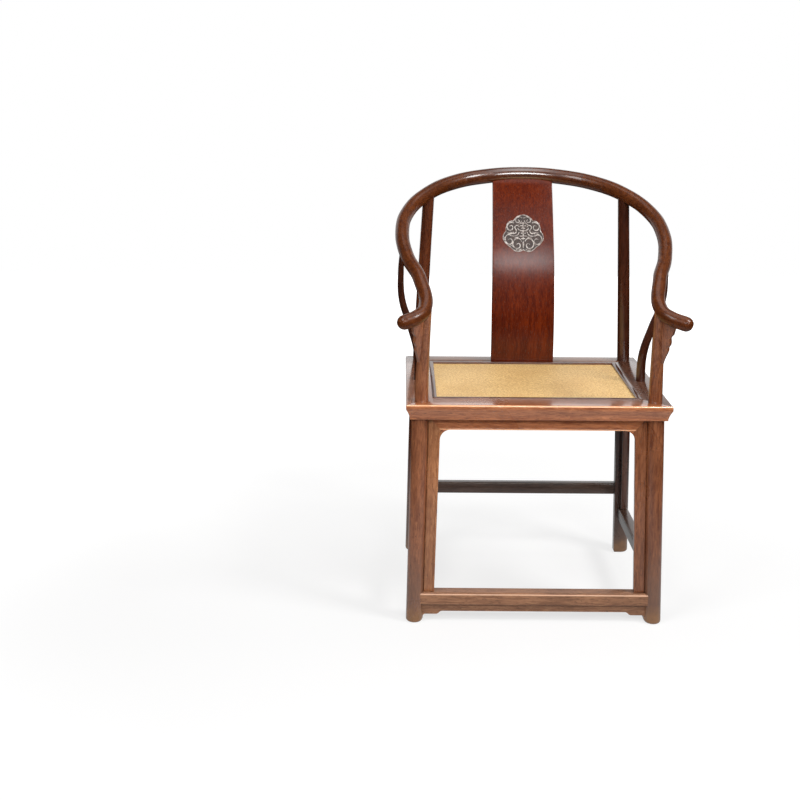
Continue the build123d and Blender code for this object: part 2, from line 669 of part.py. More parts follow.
def splat_layer(near, far, start_z, width):
    """A slice of the splat's thickness between two depths behind its front face."""
    line = [(splat_foot_y, SEAT_TOP - SPLAT_TONGUE_DEPTH), (splat_foot_y, SEAT_TOP)]
    line += [(splat_foot_y - back, SEAT_TOP + splat_rise * share) for share, back in SPLAT_LINE]
    line += [(splat_top.Y, splat_top.Z)]
    middle = Spline(*line)
    count = ceil(middle.length / SPLAT_STEP)
    front = []
    back = []
    for i in range(count + 1):
        point = middle @ (i / count)
        along = middle % (i / count)
        ahead = Vector(-along.Y, along.X)
        front.append(point + ahead * (SPLAT_THICKNESS / 2 - near))
        back.append(point + ahead * (SPLAT_THICKNESS / 2 - far))
    outline = Spline(*front) + Line(front[-1], back[-1]) + Spline(*back[::-1]) + Line(back[0], front[0])
    layer = extrude(Plane.YZ * make_face(outline), width / 2, both=True)
    return layer - below(start_z)


def splat_sides(shrink):
    """Front view of the splat: parallel at the foot and tapering above the middle."""
    low = SPLAT_WIDTH / 2 - shrink
    high = SPLAT_TOP_WIDTH / 2 - shrink
    middle = SEAT_TOP + splat_rise * SPLAT_LINE[1][0]
    points = [(-low, 0), (low, 0), (low, middle), (high, splat_top.Z), (-high, splat_top.Z), (-low, middle)]
    face = make_face(Polyline(*points, close=True))
    return extrude(Plane.XZ * face, FAR, both=True)


def splat_tongue(grow=0.0):
    near = (SPLAT_THICKNESS - SPLAT_TONGUE_THICKNESS) / 2 - grow
    far = (SPLAT_THICKNESS + SPLAT_TONGUE_THICKNESS) / 2 + grow
    low = SEAT_TOP - SPLAT_TONGUE_DEPTH - grow
    core = splat_layer(near, far, low, SPLAT_WIDTH) & splat_sides(SPLAT_TONGUE_SHOULDER - grow)
    return core - above(splat_top.Z - TENON_REACH + grow)


splat_reach = (SPLAT_WIDTH / 2 + SCARF_LENGTH) / crest.line.length
fat_centre = crest.body(0.5 - splat_reach, 0.5 + splat_reach, grow=FIT)
splat = (splat_layer(0, SPLAT_THICKNESS, SEAT_TOP, SPLAT_WIDTH) & splat_sides(0)) - fat_centre
splat = splat.solids().sort_by(Axis.Z)[0] + splat_tongue()
crest_centre = crest_centre - splat_tongue(FIT)
back_rail = back_rail - splat_tongue(FIT)


# ---- medallion: a sunk lobed field with a rim, scrolls and a long-life sign left standing
def medallion_outline(shrink):
    """A lobed cloud outline that ends in a point at the top: each lobe is an arc between two notches."""
    narrow = 1 - 2 * shrink / MEDALLION_WIDTH
    edges = []
    for i in range(0, len(MEDALLION_LOBES) - 2, 2):
        lobe = MEDALLION_LOBES[i : i + 3]
        points = [(x * MEDALLION_WIDTH * narrow, y * MEDALLION_HEIGHT * narrow) for x, y in lobe]
        edges.append(ThreePointArc(*points))
        edges.append(ThreePointArc(*[(-x, y) for x, y in points]))
    return make_face(Curve() + edges)


def scroll(x, y, turn):
    """A C-shaped scroll."""
    ring = Circle(SCROLL_RADIUS) - Circle(SCROLL_RADIUS - SCROLL_BAND)
    gap = Pos(SCROLL_RADIUS, 0) * Rectangle(2 * SCROLL_RADIUS, SCROLL_BAND)
    return Pos(x, y) * Rot(0, 0, turn) * (ring - gap + Circle(SCROLL_BAND / 2))


field = medallion_outline(MEDALLION_BAND) - medallion_outline(MEDALLION_BAND + SCROLL_BAND)
motif = Sketch() + field
for i in range(SCROLL_COUNT):
    for side in (-1, 1):
        angle = 90 - (i + 0.5) * 180 / SCROLL_COUNT
        spot = Vector(SCROLL_RING * side, 0).rotate(Axis.Z, side * angle)
        motif += scroll(spot.X, spot.Y, degrees(atan2(spot.Y, spot.X)) + side * 90)
sign = Rectangle(SIGN_BAR, SIGN_HEIGHT)
for share in (-0.5, -0.25, 0, 0.25, 0.5):
    sign += Pos(0, share * SIGN_HEIGHT) * Rectangle(SIGN_WIDTH * (1 - abs(share) / 2), SIGN_BAR)
motif += sign
stand = Plane(origin=(0, -FAR / 2, SEAT_TOP + MEDALLION_RISE), x_dir=(1, 0, 0), z_dir=(0, -1, 0))
sunk = extrude(stand * (medallion_outline(0) - motif), FAR, both=True)
splat = splat - (splat_layer(-1, MEDALLION_DEPTH, SEAT_TOP, SPLAT_WIDTH) & sunk)


# ---- soft seat
mat_x = HALF_WIDTH - RAIL_WIDTH + STRIP_STEP - FIT
mat_y = HALF_DEPTH - RAIL_WIDTH + STRIP_STEP - FIT


def mat(z0, z1):
    return block(-mat_x, mat_x, -mat_y, mat_y, z0, z1)


web_top = REBATE_FLOOR + WEB_THICKNESS
cane_top = web_top + CANE_THICKNESS
cane = mat(web_top, cane_top)
columns = round(2 * mat_x / WEB_PITCH)
rows = round(2 * mat_y / WEB_PITCH)
pitch_x = (2 * mat_x - WEB_STRAP) / columns
pitch_y = (2 * mat_y - WEB_STRAP) / rows
mesh = GridLocations(pitch_x, pitch_y, columns, rows) * Rectangle(pitch_x - WEB_STRAP, pitch_y - WEB_STRAP)
webbing = mat(REBATE_FLOOR, web_top) - extrude(Pos(0, 0, REBATE_FLOOR) * Sketch(mesh), WEB_THICKNESS)


def cover_strip(across):
    """A cover strip: its outer half stands in the rebate and its inner half laps over the cane."""
    outer = RAIL_WIDTH - REBATE_WIDTH
    step = RAIL_WIDTH - STRIP_STEP
    top = SEAT_TOP + STRIP_PROUD
    foot = ring_side(outer, step, across, REBATE_FLOOR, top)
    return foot + ring_side(step, RAIL_WIDTH, across, cane_top, top)


def pin_places():
    """Pins along the middle of the strips' outer halves: the front ones, then the right ones."""
    line = RAIL_WIDTH - REBATE_WIDTH + STRIP_STEP / 2
    along_x = HALF_WIDTH - RAIL_WIDTH
    along_y = HALF_DEPTH - RAIL_WIDTH
    count_x = round(2 * along_x / PIN_PITCH)
    count_y = round(2 * along_y / PIN_PITCH)
    front = [(((i + 0.5) / count_x * 2 - 1) * along_x, line - HALF_DEPTH) for i in range(count_x)]
    right = [(HALF_WIDTH - line, ((i + 0.5) / count_y * 2 - 1) * along_y) for i in range(count_y)]
    return front, right


def pin(x, y, grow=0.0):
    top = SEAT_TOP + STRIP_PROUD
    low = REBATE_FLOOR - PIN_DEPTH - grow
    return Pos(x, y, (top + low) / 2) * Cylinder(PIN_DIAMETER / 2 + grow, top - low)


front_pins, right_pins = pin_places()
front_strip = cover_strip(True)
right_strip = cover_strip(False)
back_strip = mirror(front_strip, about=Plane.XZ)
pins = []
for x, y in front_pins:
    front_strip -= pin(x, y, FIT)
    back_strip -= pin(x, -y, FIT)
    front_rail -= pin(x, y, FIT)
    back_rail -= pin(x, -y, FIT)
    pins += [pin(x, y), pin(x, -y)]
for x, y in right_pins:
    right_strip -= pin(x, y, FIT)
    right_rail -= pin(x, y, FIT)
    pins += [pin(x, y), pin(-x, y)]

# ---- bowed braces under the seat
brace_reach = HALF_DEPTH - RAIL_WIDTH
brace_high = REBATE_FLOOR - BRACE_DROP / 2
brace_low = brace_high - BRACE_THICKNESS


def brace_tenons(grow=0.0):
    y = brace_reach + BRACE_TENON + grow
    half_x = BRACE_WIDTH / 2 - BRACE_SHOULDER + grow
    middle = (brace_high + brace_low) / 2
    half_z = BRACE_THICKNESS / 4 + grow
    bar = block(-half_x, half_x, -y, y, middle - half_z, middle + half_z)
    hollow = block(-FAR, FAR, -brace_reach, brace_reach, -FAR, FAR)
    return bar - hollow


upper = ThreePointArc((-brace_reach, brace_high), (0, brace_high - BRACE_BOW), (brace_reach, brace_high))
lower = ThreePointArc((-brace_reach, brace_low), (0, brace_low - BRACE_BOW), (brace_reach, brace_low))
ends = [Line(upper @ 0, lower @ 0), Line(upper @ 1, lower @ 1)]
brace = extrude(Plane.YZ * make_face(upper + lower + ends), BRACE_WIDTH / 2, both=True) + brace_tenons()
place = Pos(BRACE_SPACING / 2, 0, 0)
right_brace = place * brace
mortises = place * brace_tenons(FIT)
front_rail = front_rail - mortises - mirrored(mortises)
back_rail = back_rail - mortises - mirrored(mortises)

# ---- every node, by name
NODES = {
    "front_leg_right": front_leg,
    "rear_leg_right": rear_leg,
    "seat_rail_front": front_rail,
    "seat_rail_back": back_rail,
    "seat_rail_right": right_rail,
    "seat_brace_right": right_brace,
    "seat_webbing": webbing,
    "woven_cane_seat": cane,
    "cane_strip_front": front_strip,
    "cane_strip_back": back_strip,
    "cane_strip_right": right_strip,
    "cane_strip_pins": Compound(pins),
    "crest_rail_centre": crest_centre,
    "crest_rail_shoulder_right": crest_shoulder,
    "crest_rail_hand_right": crest_hand,
    "scarf_wedges": Compound(wedges),
    "back_splat": splat,
    "side_post_right": side_piece,
    "spandrel_right": spandrel,
    "front_apron_top": front_top_apron,
    "front_apron_stile_right": front_stile,
    "side_apron_top_right": side_top_apron,
    "side_apron_front_stile_right": side_stile_front,
    "side_apron_rear_stile_right": side_stile_rear,
    "back_apron": back_apron,
    "stretcher_front": front_stretcher,
    "stretcher_back": back_stretcher,
    "stretcher_right": side_stretcher,
    "footrest_apron": footrest_apron,
}
for name in list(NODES):
    if name.endswith("_right"):
        NODES[name.replace("_right", "_left")] = mirrored(NODES[name])

# ---- the origin goes to the middle of the whole chair's box, on the floor
boxes = [shape.bounding_box() for shape in NODES.values()]
nearest = min(box.min.Y for box in boxes)
furthest = max(box.max.Y for box in boxes)
home = Pos(0, -(nearest + furthest) / 2, 0)

os.makedirs("parts", exist_ok=True)
for name, shape in NODES.items():
    export_step(home * shape, f"parts/{name}.step")
print("middle of the chair is", round((nearest + furthest) / 2, 3), "behind the middle of the seat")
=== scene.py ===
from math import cos, pi, radians, sin

import bpy
from mathutils import Matrix, Vector


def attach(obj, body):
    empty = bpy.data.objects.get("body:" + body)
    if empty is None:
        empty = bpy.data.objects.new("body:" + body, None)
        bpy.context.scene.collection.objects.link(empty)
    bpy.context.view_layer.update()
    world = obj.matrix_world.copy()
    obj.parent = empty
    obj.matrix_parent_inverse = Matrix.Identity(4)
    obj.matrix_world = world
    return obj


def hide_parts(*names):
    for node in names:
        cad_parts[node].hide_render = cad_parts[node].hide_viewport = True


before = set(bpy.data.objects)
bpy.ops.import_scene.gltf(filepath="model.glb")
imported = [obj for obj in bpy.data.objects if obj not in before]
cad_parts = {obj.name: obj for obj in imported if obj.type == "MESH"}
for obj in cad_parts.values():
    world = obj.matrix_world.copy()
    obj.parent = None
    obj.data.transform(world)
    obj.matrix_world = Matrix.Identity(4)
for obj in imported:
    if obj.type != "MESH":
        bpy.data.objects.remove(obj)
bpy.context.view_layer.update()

# ---- Camera
# It stands a little left of the chair at standing height and looks ten degrees down. The lens is shifted
# so that the chair stands in the right half of the frame.
bpy.ops.object.camera_add(
    location=(-0.30775, -2.83951, 1.25364),
    rotation=(radians(79.9863), radians(-0.3147), radians(0.3261)),
)
camera = bpy.context.object
camera.data.lens = 54.65
camera.data.shift_x = 0.00511
camera.data.shift_y = -0.14775
bpy.context.scene.camera = camera

# ---- Front and rear legs
# Each leg and the post above the seat are one rosewood timber. Below the seat it is round outside and
# square towards the middle of the chair; it narrows to a round neck, passes through the seat frame and
# leans back or forward to the crest rail.
seat_top = 0.518
seat_under = 0.482
seat_middle = -0.006
leg_x = 0.2645
leg_y = 0.201
splay_x = 0.0095
splay_y = 0.010


class Shade:
    """One socket of a finish. Arithmetic on it adds the Math nodes."""

    def __init__(self, finish, socket):
        self.finish = finish
        self.socket = socket

    def math(self, operation, *values):
        return self.finish.node("Math", {"operation": operation}, dict(enumerate(values)))

    def __add__(self, other):
        return self.math("ADD", self, other)

    def __sub__(self, other):
        return self.math("SUBTRACT", self, other)

    def __rsub__(self, other):
        return self.math("SUBTRACT", other, self)

    def __mul__(self, other):
        return self.math("MULTIPLY", self, other)

    def __truediv__(self, other):
        return self.math("DIVIDE", self, other)

    def __pow__(self, other):
        return self.math("POWER", self, other)

    def __gt__(self, other):
        return self.math("GREATER_THAN", self, other)

    __radd__ = __add__
    __rmul__ = __mul__


class Finish:
    """A finish while it is being mixed, around its Principled shader."""

    def __init__(self, name):
        self.material = bpy.data.materials.new(name)
        self.material.use_nodes = True
        self.nodes = self.material.node_tree.nodes
        self.links = self.material.node_tree.links
        self.shader = self.nodes["Principled BSDF"]

    def plug(self, node, sockets):
        for socket, value in sockets.items():
            if isinstance(value, Shade):
                self.links.new(value.socket, node.inputs[socket])
            else:
                node.inputs[socket].default_value = value

    def node(self, kind, settings=None, sockets=None, output=0):
        made = self.nodes.new("ShaderNode" + kind)
        for setting, value in (settings or {}).items():
            setattr(made, setting, value)
        self.plug(made, sockets or {})
        return Shade(self, made.outputs[output])

    def mix(self, share, first, second):
        """Blends two colours, each one a shade or its red, green and blue."""
        first, second = (color if isinstance(color, Shade) else (*color, 1) for color in (first, second))
        return self.node("Mix", {"data_type": "RGBA"}, {"Factor": share, 6: first, 7: second}, output=2)

    def ramp(self, value, low, high):
        """0 below low, 1 above high."""
        sockets = {"Value": value, "From Min": low, "From Max": high}
        return self.node("MapRange", {"interpolation_type": "SMOOTHSTEP"}, sockets)


along_x = (0, pi / 2, 0)
along_y = (pi / 2, 0, 0)


def rosewood(
    name, deep, bright, turn=(0, 0, 0), gloss=0.24, specular=0.5, coat=0.4, haze=0.12, film=1.64, buffed=0,
    foot_wear_and_floor_sheen=False, arrises=(),
):
    """Waxed rosewood between two tones. The turn takes the Z axis to the line of the grain.

    The coat is the wax: haze is its roughness and film its index. A buffed piece shines most in the middle of
    the chair, out to that distance. Arrises are the heights of edges that get a painted highlight, a thin
    pale line.
    """
    wood = Finish(name)
    place = wood.node("TexCoord", output="Object")
    sway = wood.node("TexNoise", {}, {"Vector": place, "Scale": 9, "Detail": 2}, output="Color")
    centred = wood.node("VectorMath", {"operation": "SUBTRACT"}, {0: sway, 1: (0.5, 0.5, 0.5)})
    bent = wood.node("VectorMath", {"operation": "MULTIPLY_ADD"}, {0: centred, 1: (0.008,) * 3, 2: place})
    slow = {"Vector": bent, "Rotation": turn, "Scale": (1, 1, 11)}
    fast = {"Vector": place, "Rotation": turn, "Scale": (1, 1, 5)}
    board = wood.node("Mapping", {"vector_type": "TEXTURE"}, slow)
    fibre = wood.node("Mapping", {"vector_type": "TEXTURE"}, fast)
    band = wood.node("TexNoise", {}, {"Vector": board, "Scale": 120, "Detail": 3, "Roughness": 0.6})
    streak = wood.node("TexNoise", {}, {"Vector": board, "Scale": 420, "Detail": 3, "Roughness": 0.6})
    fleck = wood.node("TexNoise", {}, {"Vector": fibre, "Scale": 260, "Detail": 2})
    pore = wood.node("TexNoise", {}, {"Vector": fibre, "Scale": 520, "Detail": 1})
    cloud = wood.node("TexNoise", {}, {"Vector": place, "Scale": 6, "Detail": 2})
    color = wood.mix(wood.ramp(band * 0.45 + streak * 0.55, 0.37, 0.63), deep, bright)
    shade = tuple(0.62 * part for part in deep)
    color = wood.mix(wood.ramp(cloud, 0.45, 0.72) * 0.38, color, shade)
    glint = (1.45 * bright[0], 1.55 * bright[1], 1.5 * bright[2])
    color = wood.mix(wood.ramp(fleck, 0.56, 0.72) * 0.38, color, glint)
    dash = wood.ramp(pore, 0.60, 0.72)
    color = wood.mix(dash * 0.5, color, (0.020, 0.0065, 0.0035))
    aside, height = (wood.node("SeparateXYZ", {}, {0: place}, output=axis) for axis in "XZ")
    edge_highlight_tone = (min(1, 2.3 * bright[0]), 3.0 * bright[1], 4.0 * bright[2])
    # Painted highlight: a thin pale line at each arris height stands in for the lamps' highlight on the
    # rounded edge.
    for level in arrises:
        gap = height - level
        edge_highlight_mask = 1 - wood.ramp(gap.math("ABSOLUTE", gap), 0.0006, 0.0018)
        color = wood.mix(edge_highlight_mask * 0.8, color, edge_highlight_tone)
    if buffed:
        coat = coat + (1 - coat) * (1 - wood.ramp(aside.math("ABSOLUTE", aside), 0, buffed))
    # Low on a leg the colour turns greyer, partly dust and partly a painted reflection of the white floor;
    # right at the floor the wood is worn bare.
    if foot_wear_and_floor_sheen:
        scuff = wood.node("TexNoise", {}, {"Vector": place, "Scale": 60, "Detail": 4})
        dust = (1 - wood.ramp(height + (scuff - 0.5) * 0.08, 0.05, 0.22)) * 0.6
        color = wood.mix(dust, color, (0.150, 0.090, 0.064))
        bare = (1 - wood.ramp(height + (scuff - 0.5) * 0.05, 0.006, 0.050)) * 0.8
        color = wood.mix(bare, color, (0.26, 0.125, 0.048))
    ripple = wood.node("TexNoise", {}, {"Vector": place, "Scale": 38, "Detail": 2})
    relief = ripple * 0.6 + streak * 0.08 - dash * 0.05
    bump = wood.node("Bump", {}, {"Height": relief, "Strength": 0.25, "Distance": 0.0012})
    rough = gloss + cloud * 0.08 + dash * 0.06
    wood.plug(
        wood.shader,
        {
            "Base Color": color, "Roughness": rough, "Normal": bump, "Specular IOR Level": specular,
            "Coat Weight": coat, "Coat Roughness": haze, "Coat IOR": film,
        },
    )
    return wood.material


# These four copies of one rosewood differ in tone to paint the light each leg gets: the left front leg is
# painted lit, the right front leg is in painted shade, the left rear leg is darker in painted shade and the
# right rear leg is darkest.
painted_lit_left_wood = rosewood("rosewood_left_painted_lit", (0.175, 0.054, 0.023), (0.330, 0.122, 0.053), foot_wear_and_floor_sheen=True)
painted_shade_right_wood = rosewood("rosewood_right_painted_shade", (0.132, 0.037, 0.0145), (0.250, 0.086, 0.034), foot_wear_and_floor_sheen=True)
painted_shade_rear_wood = rosewood("rosewood_rear_painted_shade", (0.064, 0.014, 0.0050), (0.130, 0.034, 0.011), foot_wear_and_floor_sheen=True)
painted_deep_shade_wood = rosewood("rosewood_painted_deep_shade", (0.030, 0.0064, 0.0020), (0.062, 0.015, 0.0050), foot_wear_and_floor_sheen=True)


def clear():
    """Leaves edit mode and deselects everything."""
    if bpy.context.object and bpy.context.object.mode != "OBJECT":
        bpy.ops.object.mode_set(mode="OBJECT")
    bpy.ops.object.select_all(action="DESELECT")


def take(*pieces):
    """Selects these pieces only; the first one is the one worked on."""
    clear()
    for piece in pieces:
        piece.select_set(True)
    bpy.context.view_layer.objects.active = pieces[0]
    return pieces[0]


def pick(piece, wanted, kind="VERT"):
    """Opens a piece in edit mode with the vertices, edges or faces selected whose middle is wanted."""
    take(piece)
    bpy.ops.object.mode_set(mode="EDIT")
    bpy.ops.mesh.select_mode(type="VERT")
    bpy.ops.mesh.select_all(action="DESELECT")
    bpy.ops.mesh.select_mode(type=kind)
    bpy.ops.object.mode_set(mode="OBJECT")
    mesh = piece.data
    points = mesh.vertices
    if kind == "VERT":
        for vertex in points:
            vertex.select = bool(wanted(vertex.co))
    else:
        for part in mesh.edges if kind == "EDGE" else mesh.polygons:
            ends = [points[i].co for i in part.vertices]
            part.select = bool(wanted(sum(ends, Vector()) / len(ends)))
    bpy.ops.object.mode_set(mode="EDIT")
    return piece


def done():
    bpy.ops.object.mode_set(mode="OBJECT")


def turned(stations, fineness=10):
    """A round stick on a smooth line through stations of x, y, z and diameter."""
    clear()
    bpy.ops.curve.primitive_bezier_curve_add()
    stick = bpy.context.object
    points = stick.data.splines[0].bezier_points
    points.add(len(stations) - 2)
    for point, (x, y, z, size) in zip(points, stations):
        point.co = (x, y, z)
        point.radius = size / 2
    for point in points:
        point.handle_left_type = point.handle_right_type = "AUTO"
    stick.data.dimensions = "3D"
    stick.data.bevel_depth = 1
    stick.data.bevel_resolution = 7
    stick.data.resolution_u = fineness
    stick.data.use_fill_caps = True
    bpy.ops.object.convert(target="MESH")
    return bpy.context.object


def facing_out(piece):
    """Turns the normals of a closed piece outwards."""
    take(piece)
    bpy.ops.object.mode_set(mode="EDIT")
    bpy.ops.mesh.select_all(action="SELECT")
    bpy.ops.mesh.normals_make_consistent(inside=False)
    done()
    return piece


def board(outline, thickness):
    """A flat board with this outline, lying in the XY plane with its middle at z = 0."""
    clear()
    bpy.ops.mesh.primitive_circle_add(vertices=len(outline), radius=1, fill_type="NGON")
    piece = bpy.context.object
    for corner, (x, y) in zip(piece.data.vertices, outline):
        corner.co = (x, y, -thickness / 2)
    bpy.ops.object.mode_set(mode="EDIT")
    bpy.ops.mesh.select_all(action="SELECT")
    bpy.ops.mesh.extrude_region_move(TRANSFORM_OT_translate={"value": (0, 0, thickness)})
    return facing_out(piece)


def settle(piece):
    """Applies the piece's place, so that its object sits at the origin."""
    take(piece)
    bpy.ops.object.transform_apply(location=True, rotation=True, scale=True)
    return piece


def stand(piece, origin, x_axis, z_axis):
    """Places a piece made in the XY plane: its X and Z axes go to these directions."""
    z_axis = Vector(z_axis).normalized()
    x_axis = Vector(x_axis)
    x_axis = (x_axis - z_axis * x_axis.dot(z_axis)).normalized()
    turn = Matrix((x_axis, z_axis.cross(x_axis), z_axis)).transposed().to_4x4()
    piece.matrix_world = Matrix.Translation(origin) @ turn
    return settle(piece)


def copied(piece):
    take(piece)
    bpy.ops.object.duplicate()
    return bpy.context.object


def mirrored(piece):
    """A copy on the other side of the chair."""
    twin = copied(piece)
    twin.scale.x = -1
    return facing_out(settle(twin))


def joined(*pieces):
    take(*pieces)
    bpy.ops.object.join()
    return bpy.context.object


def eased(piece, width=0.0008, segments=2, angle=35):
    """Takes the sharpness off the arrises."""
    take(piece)
    ease = piece.modifiers.new("arris", "BEVEL")
    ease.width = width
    ease.segments = segments
    ease.limit_method = "ANGLE"
    ease.angle_limit = radians(angle)
    bpy.ops.object.modifier_apply(modifier=ease.name)
    return piece


def cut(piece, cutter, operation="DIFFERENCE"):
    """Cuts the piece with another, which is used up."""
    take(piece)
    tool = piece.modifiers.new("cut", "BOOLEAN")
    tool.operation = operation
    tool.solver = "EXACT"
    tool.object = cutter
    bpy.ops.object.modifier_apply(modifier=tool.name)
    bpy.data.objects.remove(cutter)
    return piece


def sawn(piece, at, towards):
    """Saws off what lies beyond a plane, and closes the cut."""
    take(piece)
    bpy.ops.object.mode_set(mode="EDIT")
    bpy.ops.mesh.select_all(action="SELECT")
    bpy.ops.mesh.bisect(plane_co=at, plane_no=towards, use_fill=True, clear_outer=True)
    done()
    return piece


def fit(piece, name, node, finish, smooth=38):
    """Settles a finished piece in the place of its node."""
    settle(piece)
    piece.name = name
    piece.data.name = name
    bpy.ops.object.shade_smooth_by_angle(angle=radians(smooth))
    piece.data.materials.clear()
    piece.data.materials.append(finish)
    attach(piece, "root")
    if node:
        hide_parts(node)
    return piece


def fit_pair(piece, name, node, left, right):
    """Fits a right-hand piece and its mirror image. The star in each name stands for the side."""
    for side, made, finish in (("left", mirrored(piece), left), ("right", piece, right)):
        fit(made, name.replace("*", side), node.replace("*", side), finish)


def lower_leg(side):
    """The right leg below the seat; side is -1 at the front and 1 at the back."""
    radius = 0.019
    flank = 0.0196
    foot = Vector((leg_x + splay_x, seat_middle + side * (leg_y + splay_y), 0))
    head = Vector((leg_x, seat_middle + side * leg_y, seat_under))
    clear()
    bpy.ops.mesh.primitive_circle_add(vertices=48, radius=radius, fill_type="NGON")
    leg = bpy.context.object
    for corner in leg.data.vertices:
        inward, middle = -corner.co.x, -side * corner.co.y
        if inward > -1e-4 and middle > -1e-4:
            corner.co *= flank / max(inward, middle)
    bpy.ops.object.mode_set(mode="EDIT")
    bpy.ops.mesh.select_all(action="SELECT")
    bpy.ops.mesh.extrude_region_move(TRANSFORM_OT_translate={"value": (head - foot)})
    pick(facing_out(leg), lambda middle: middle.z < 1e-4, "EDGE")
    bpy.ops.mesh.bevel(offset=0.006, segments=5)
    done()
    leg.location = foot
    return eased(settle(leg), 0.0012, 3, 60)


post_step = 0.003
post_neck = 0.008


def leaning_post(side, top, sizes, bend):
    """The post above the leg: upright in the seat frame and leaning more and more above it."""
    foot = Vector((leg_x - post_step, seat_middle + side * leg_y, seat_top))
    stations = [(foot.x, foot.y, seat_under - post_neck, sizes[0]), (*foot, sizes[0])]
    for share in (0.15, 0.3, 0.45, 0.6, 0.75, 0.9, 1):
        x, y = foot.xy.lerp(top.xy, share**bend)
        z = seat_top + (top.z - seat_top) * share
        stations.append((x, y, z, sizes[0] + (sizes[1] - sizes[0]) * share))
    return turned(stations, 5)


front_post_top = Vector((0.2535, seat_middle - 0.246, 0.737))
rear_post_top = Vector((0.2415, seat_middle + 0.174, 0.9446))
front_leg = joined(lower_leg(-1), leaning_post(-1, front_post_top, (0.0316, 0.024), 1.5))
rear_leg = joined(lower_leg(1), leaning_post(1, rear_post_top, (0.0316, 0.0284), 1.15))
fit_pair(front_leg, "front_leg_*_timber", "front_leg_*", painted_lit_left_wood, painted_shade_right_wood)
fit_pair(rear_leg, "rear_leg_*_timber", "rear_leg_*", painted_shade_rear_wood, painted_deep_shade_wood)

# ---- Seat frame
# Four rosewood rails with a moulded edge, mitred at the corners. Through tenons of the front and back
# rails pass through the side rails and show in their edges; the inner top edge is rebated for the cane.
# The seat frame's rosewood comes in copies whose tones paint the light each side gets: the front is painted
# lit, the left side a little darker, and the back and the right side are in painted shade. The front wood
# also carries painted highlights, thin pale lines along the rail's top edge and the apron's lower edge.
painted_lit_front_wood = rosewood(
    "rosewood_front_painted_lit", (0.275, 0.084, 0.032), (0.490, 0.175, 0.070), along_x,
    coat=0.6, arrises=(seat_top - 0.0018, seat_under - 0.0275),
)
painted_lit_left_side_wood = rosewood(
    "rosewood_left_side_painted_lit", (0.180, 0.068, 0.036), (0.320, 0.140, 0.078), along_y, coat=0.8
)
painted_shade_back_wood = rosewood("rosewood_back_painted_shade", (0.110, 0.042, 0.019), (0.200, 0.082, 0.038), along_x, coat=1)
painted_shade_right_side_wood = rosewood("rosewood_right_side_painted_shade", (0.068, 0.026, 0.014), (0.130, 0.053, 0.029), along_y, coat=0.6)
half_width = 0.296
half_depth = 0.234
rail_width = 0.070
rebate = 0.010
rebate_floor = 0.510


def arc(cx, cy, radius, start, stop, count):
    """Points on an arc, from one angle to another, in degrees."""
    angles = [radians(start + (stop - start) * i / count) for i in range(count + 1)]
    return [(cx + radius * cos(a), cy + radius * sin(a)) for a in angles]


def rail_section():
    """Inward distance and height round the rail's section, with the hollow under its edge band."""
    band, lip, inset, sink = 0.507, 0.486, 0.0085, 0.0009
    hollow = []
    for i in range(7):
        share = i / 6
        hollow.append((inset * share + sink * sin(pi * share), band + (lip - band) * share))
    top = arc(0.004, seat_top - 0.004, 0.004, 90, 180, 5)
    inner = rail_width - rebate
    back = [(rail_width, seat_under), (rail_width, rebate_floor), (inner, rebate_floor), (inner, seat_top)]
    return top + hollow + [(inset, seat_under)] + back


def mitred_side(section, across, side):
    """One side of a mitred frame whose section gives inward distance from the seat's edge and height."""
    if across:
        rail = board(section, 2 * half_width)
        stand(rail, (0, seat_middle + side * half_depth, 0), (0, -side, 0), (-side, 0, 0))
    else:
        rail = board(section, 2 * half_depth)
        stand(rail, (side * half_width, seat_middle, 0), (-side, 0, 0), (0, side, 0))
    for end in (-1, 1):
        right, behind = (end, side) if across else (side, end)
        corner = (right * half_width, seat_middle + behind * half_depth, 0)
        sawn(rail, corner, (end, -side, 0) if across else (-side, end, 0))
    return rail


tenon_size = (0.060, 0.038, 0.012)
tenon_reveal = 0.0003
side_rails = {name: mitred_side(rail_section(), False, side) for side, name in ((-1, "left"), (1, "right"))}
for side, name, wood in ((-1, "front", painted_lit_front_wood), (1, "back", painted_shade_back_wood)):
    rail = mitred_side(rail_section(), True, side)
    for hand, end in ((-1, "left"), (1, "right")):
        clear()
        bpy.ops.mesh.primitive_cube_add(size=1, location=(hand * 0.270, seat_middle + side * 0.200, 0.499))
        tenon = bpy.context.object
        tenon.scale = tenon_size
        settle(tenon)
        shell = copied(side_rails[end])
        shell.location.x = hand * tenon_reveal
        settle(shell)
        rail = joined(rail, cut(tenon, shell, "INTERSECT"))
    fit(eased(rail, 0.0007), "seat_rail_" + name + "_moulded", "seat_rail_" + name, wood)
for name, wood in (("left", painted_lit_left_side_wood), ("right", painted_shade_right_side_wood)):
    fit(eased(side_rails[name], 0.0007), "seat_rail_" + name + "_moulded", "seat_rail_" + name, wood)

# ---- Aprons under the seat frame
# A thin rosewood board and two stiles line each side opening and the front one. They are mitred at the
# corners, tongued into the legs and the seat frame, and carry a bead along their rounded inner edge.
# The back has one plain board.
apron_thickness = 0.011
apron_drop = 0.029
stile_width = 0.026
opening_round = 0.024
apron_inset = 0.0015
front_half = 0.2455
side_half = 0.182
front_plane = ((0, seat_middle - leg_y + apron_inset, seat_under), (1, 0, 0), (0, -seat_under, splay_y))
right_plane = ((leg_x - apron_inset, seat_middle, seat_under), (0, 1, 0), (seat_under, 0, splay_x))
back_plane = ((0, seat_middle + leg_y - apron_inset, seat_under), (-1, 0, 0), (0, seat_under, splay_y))


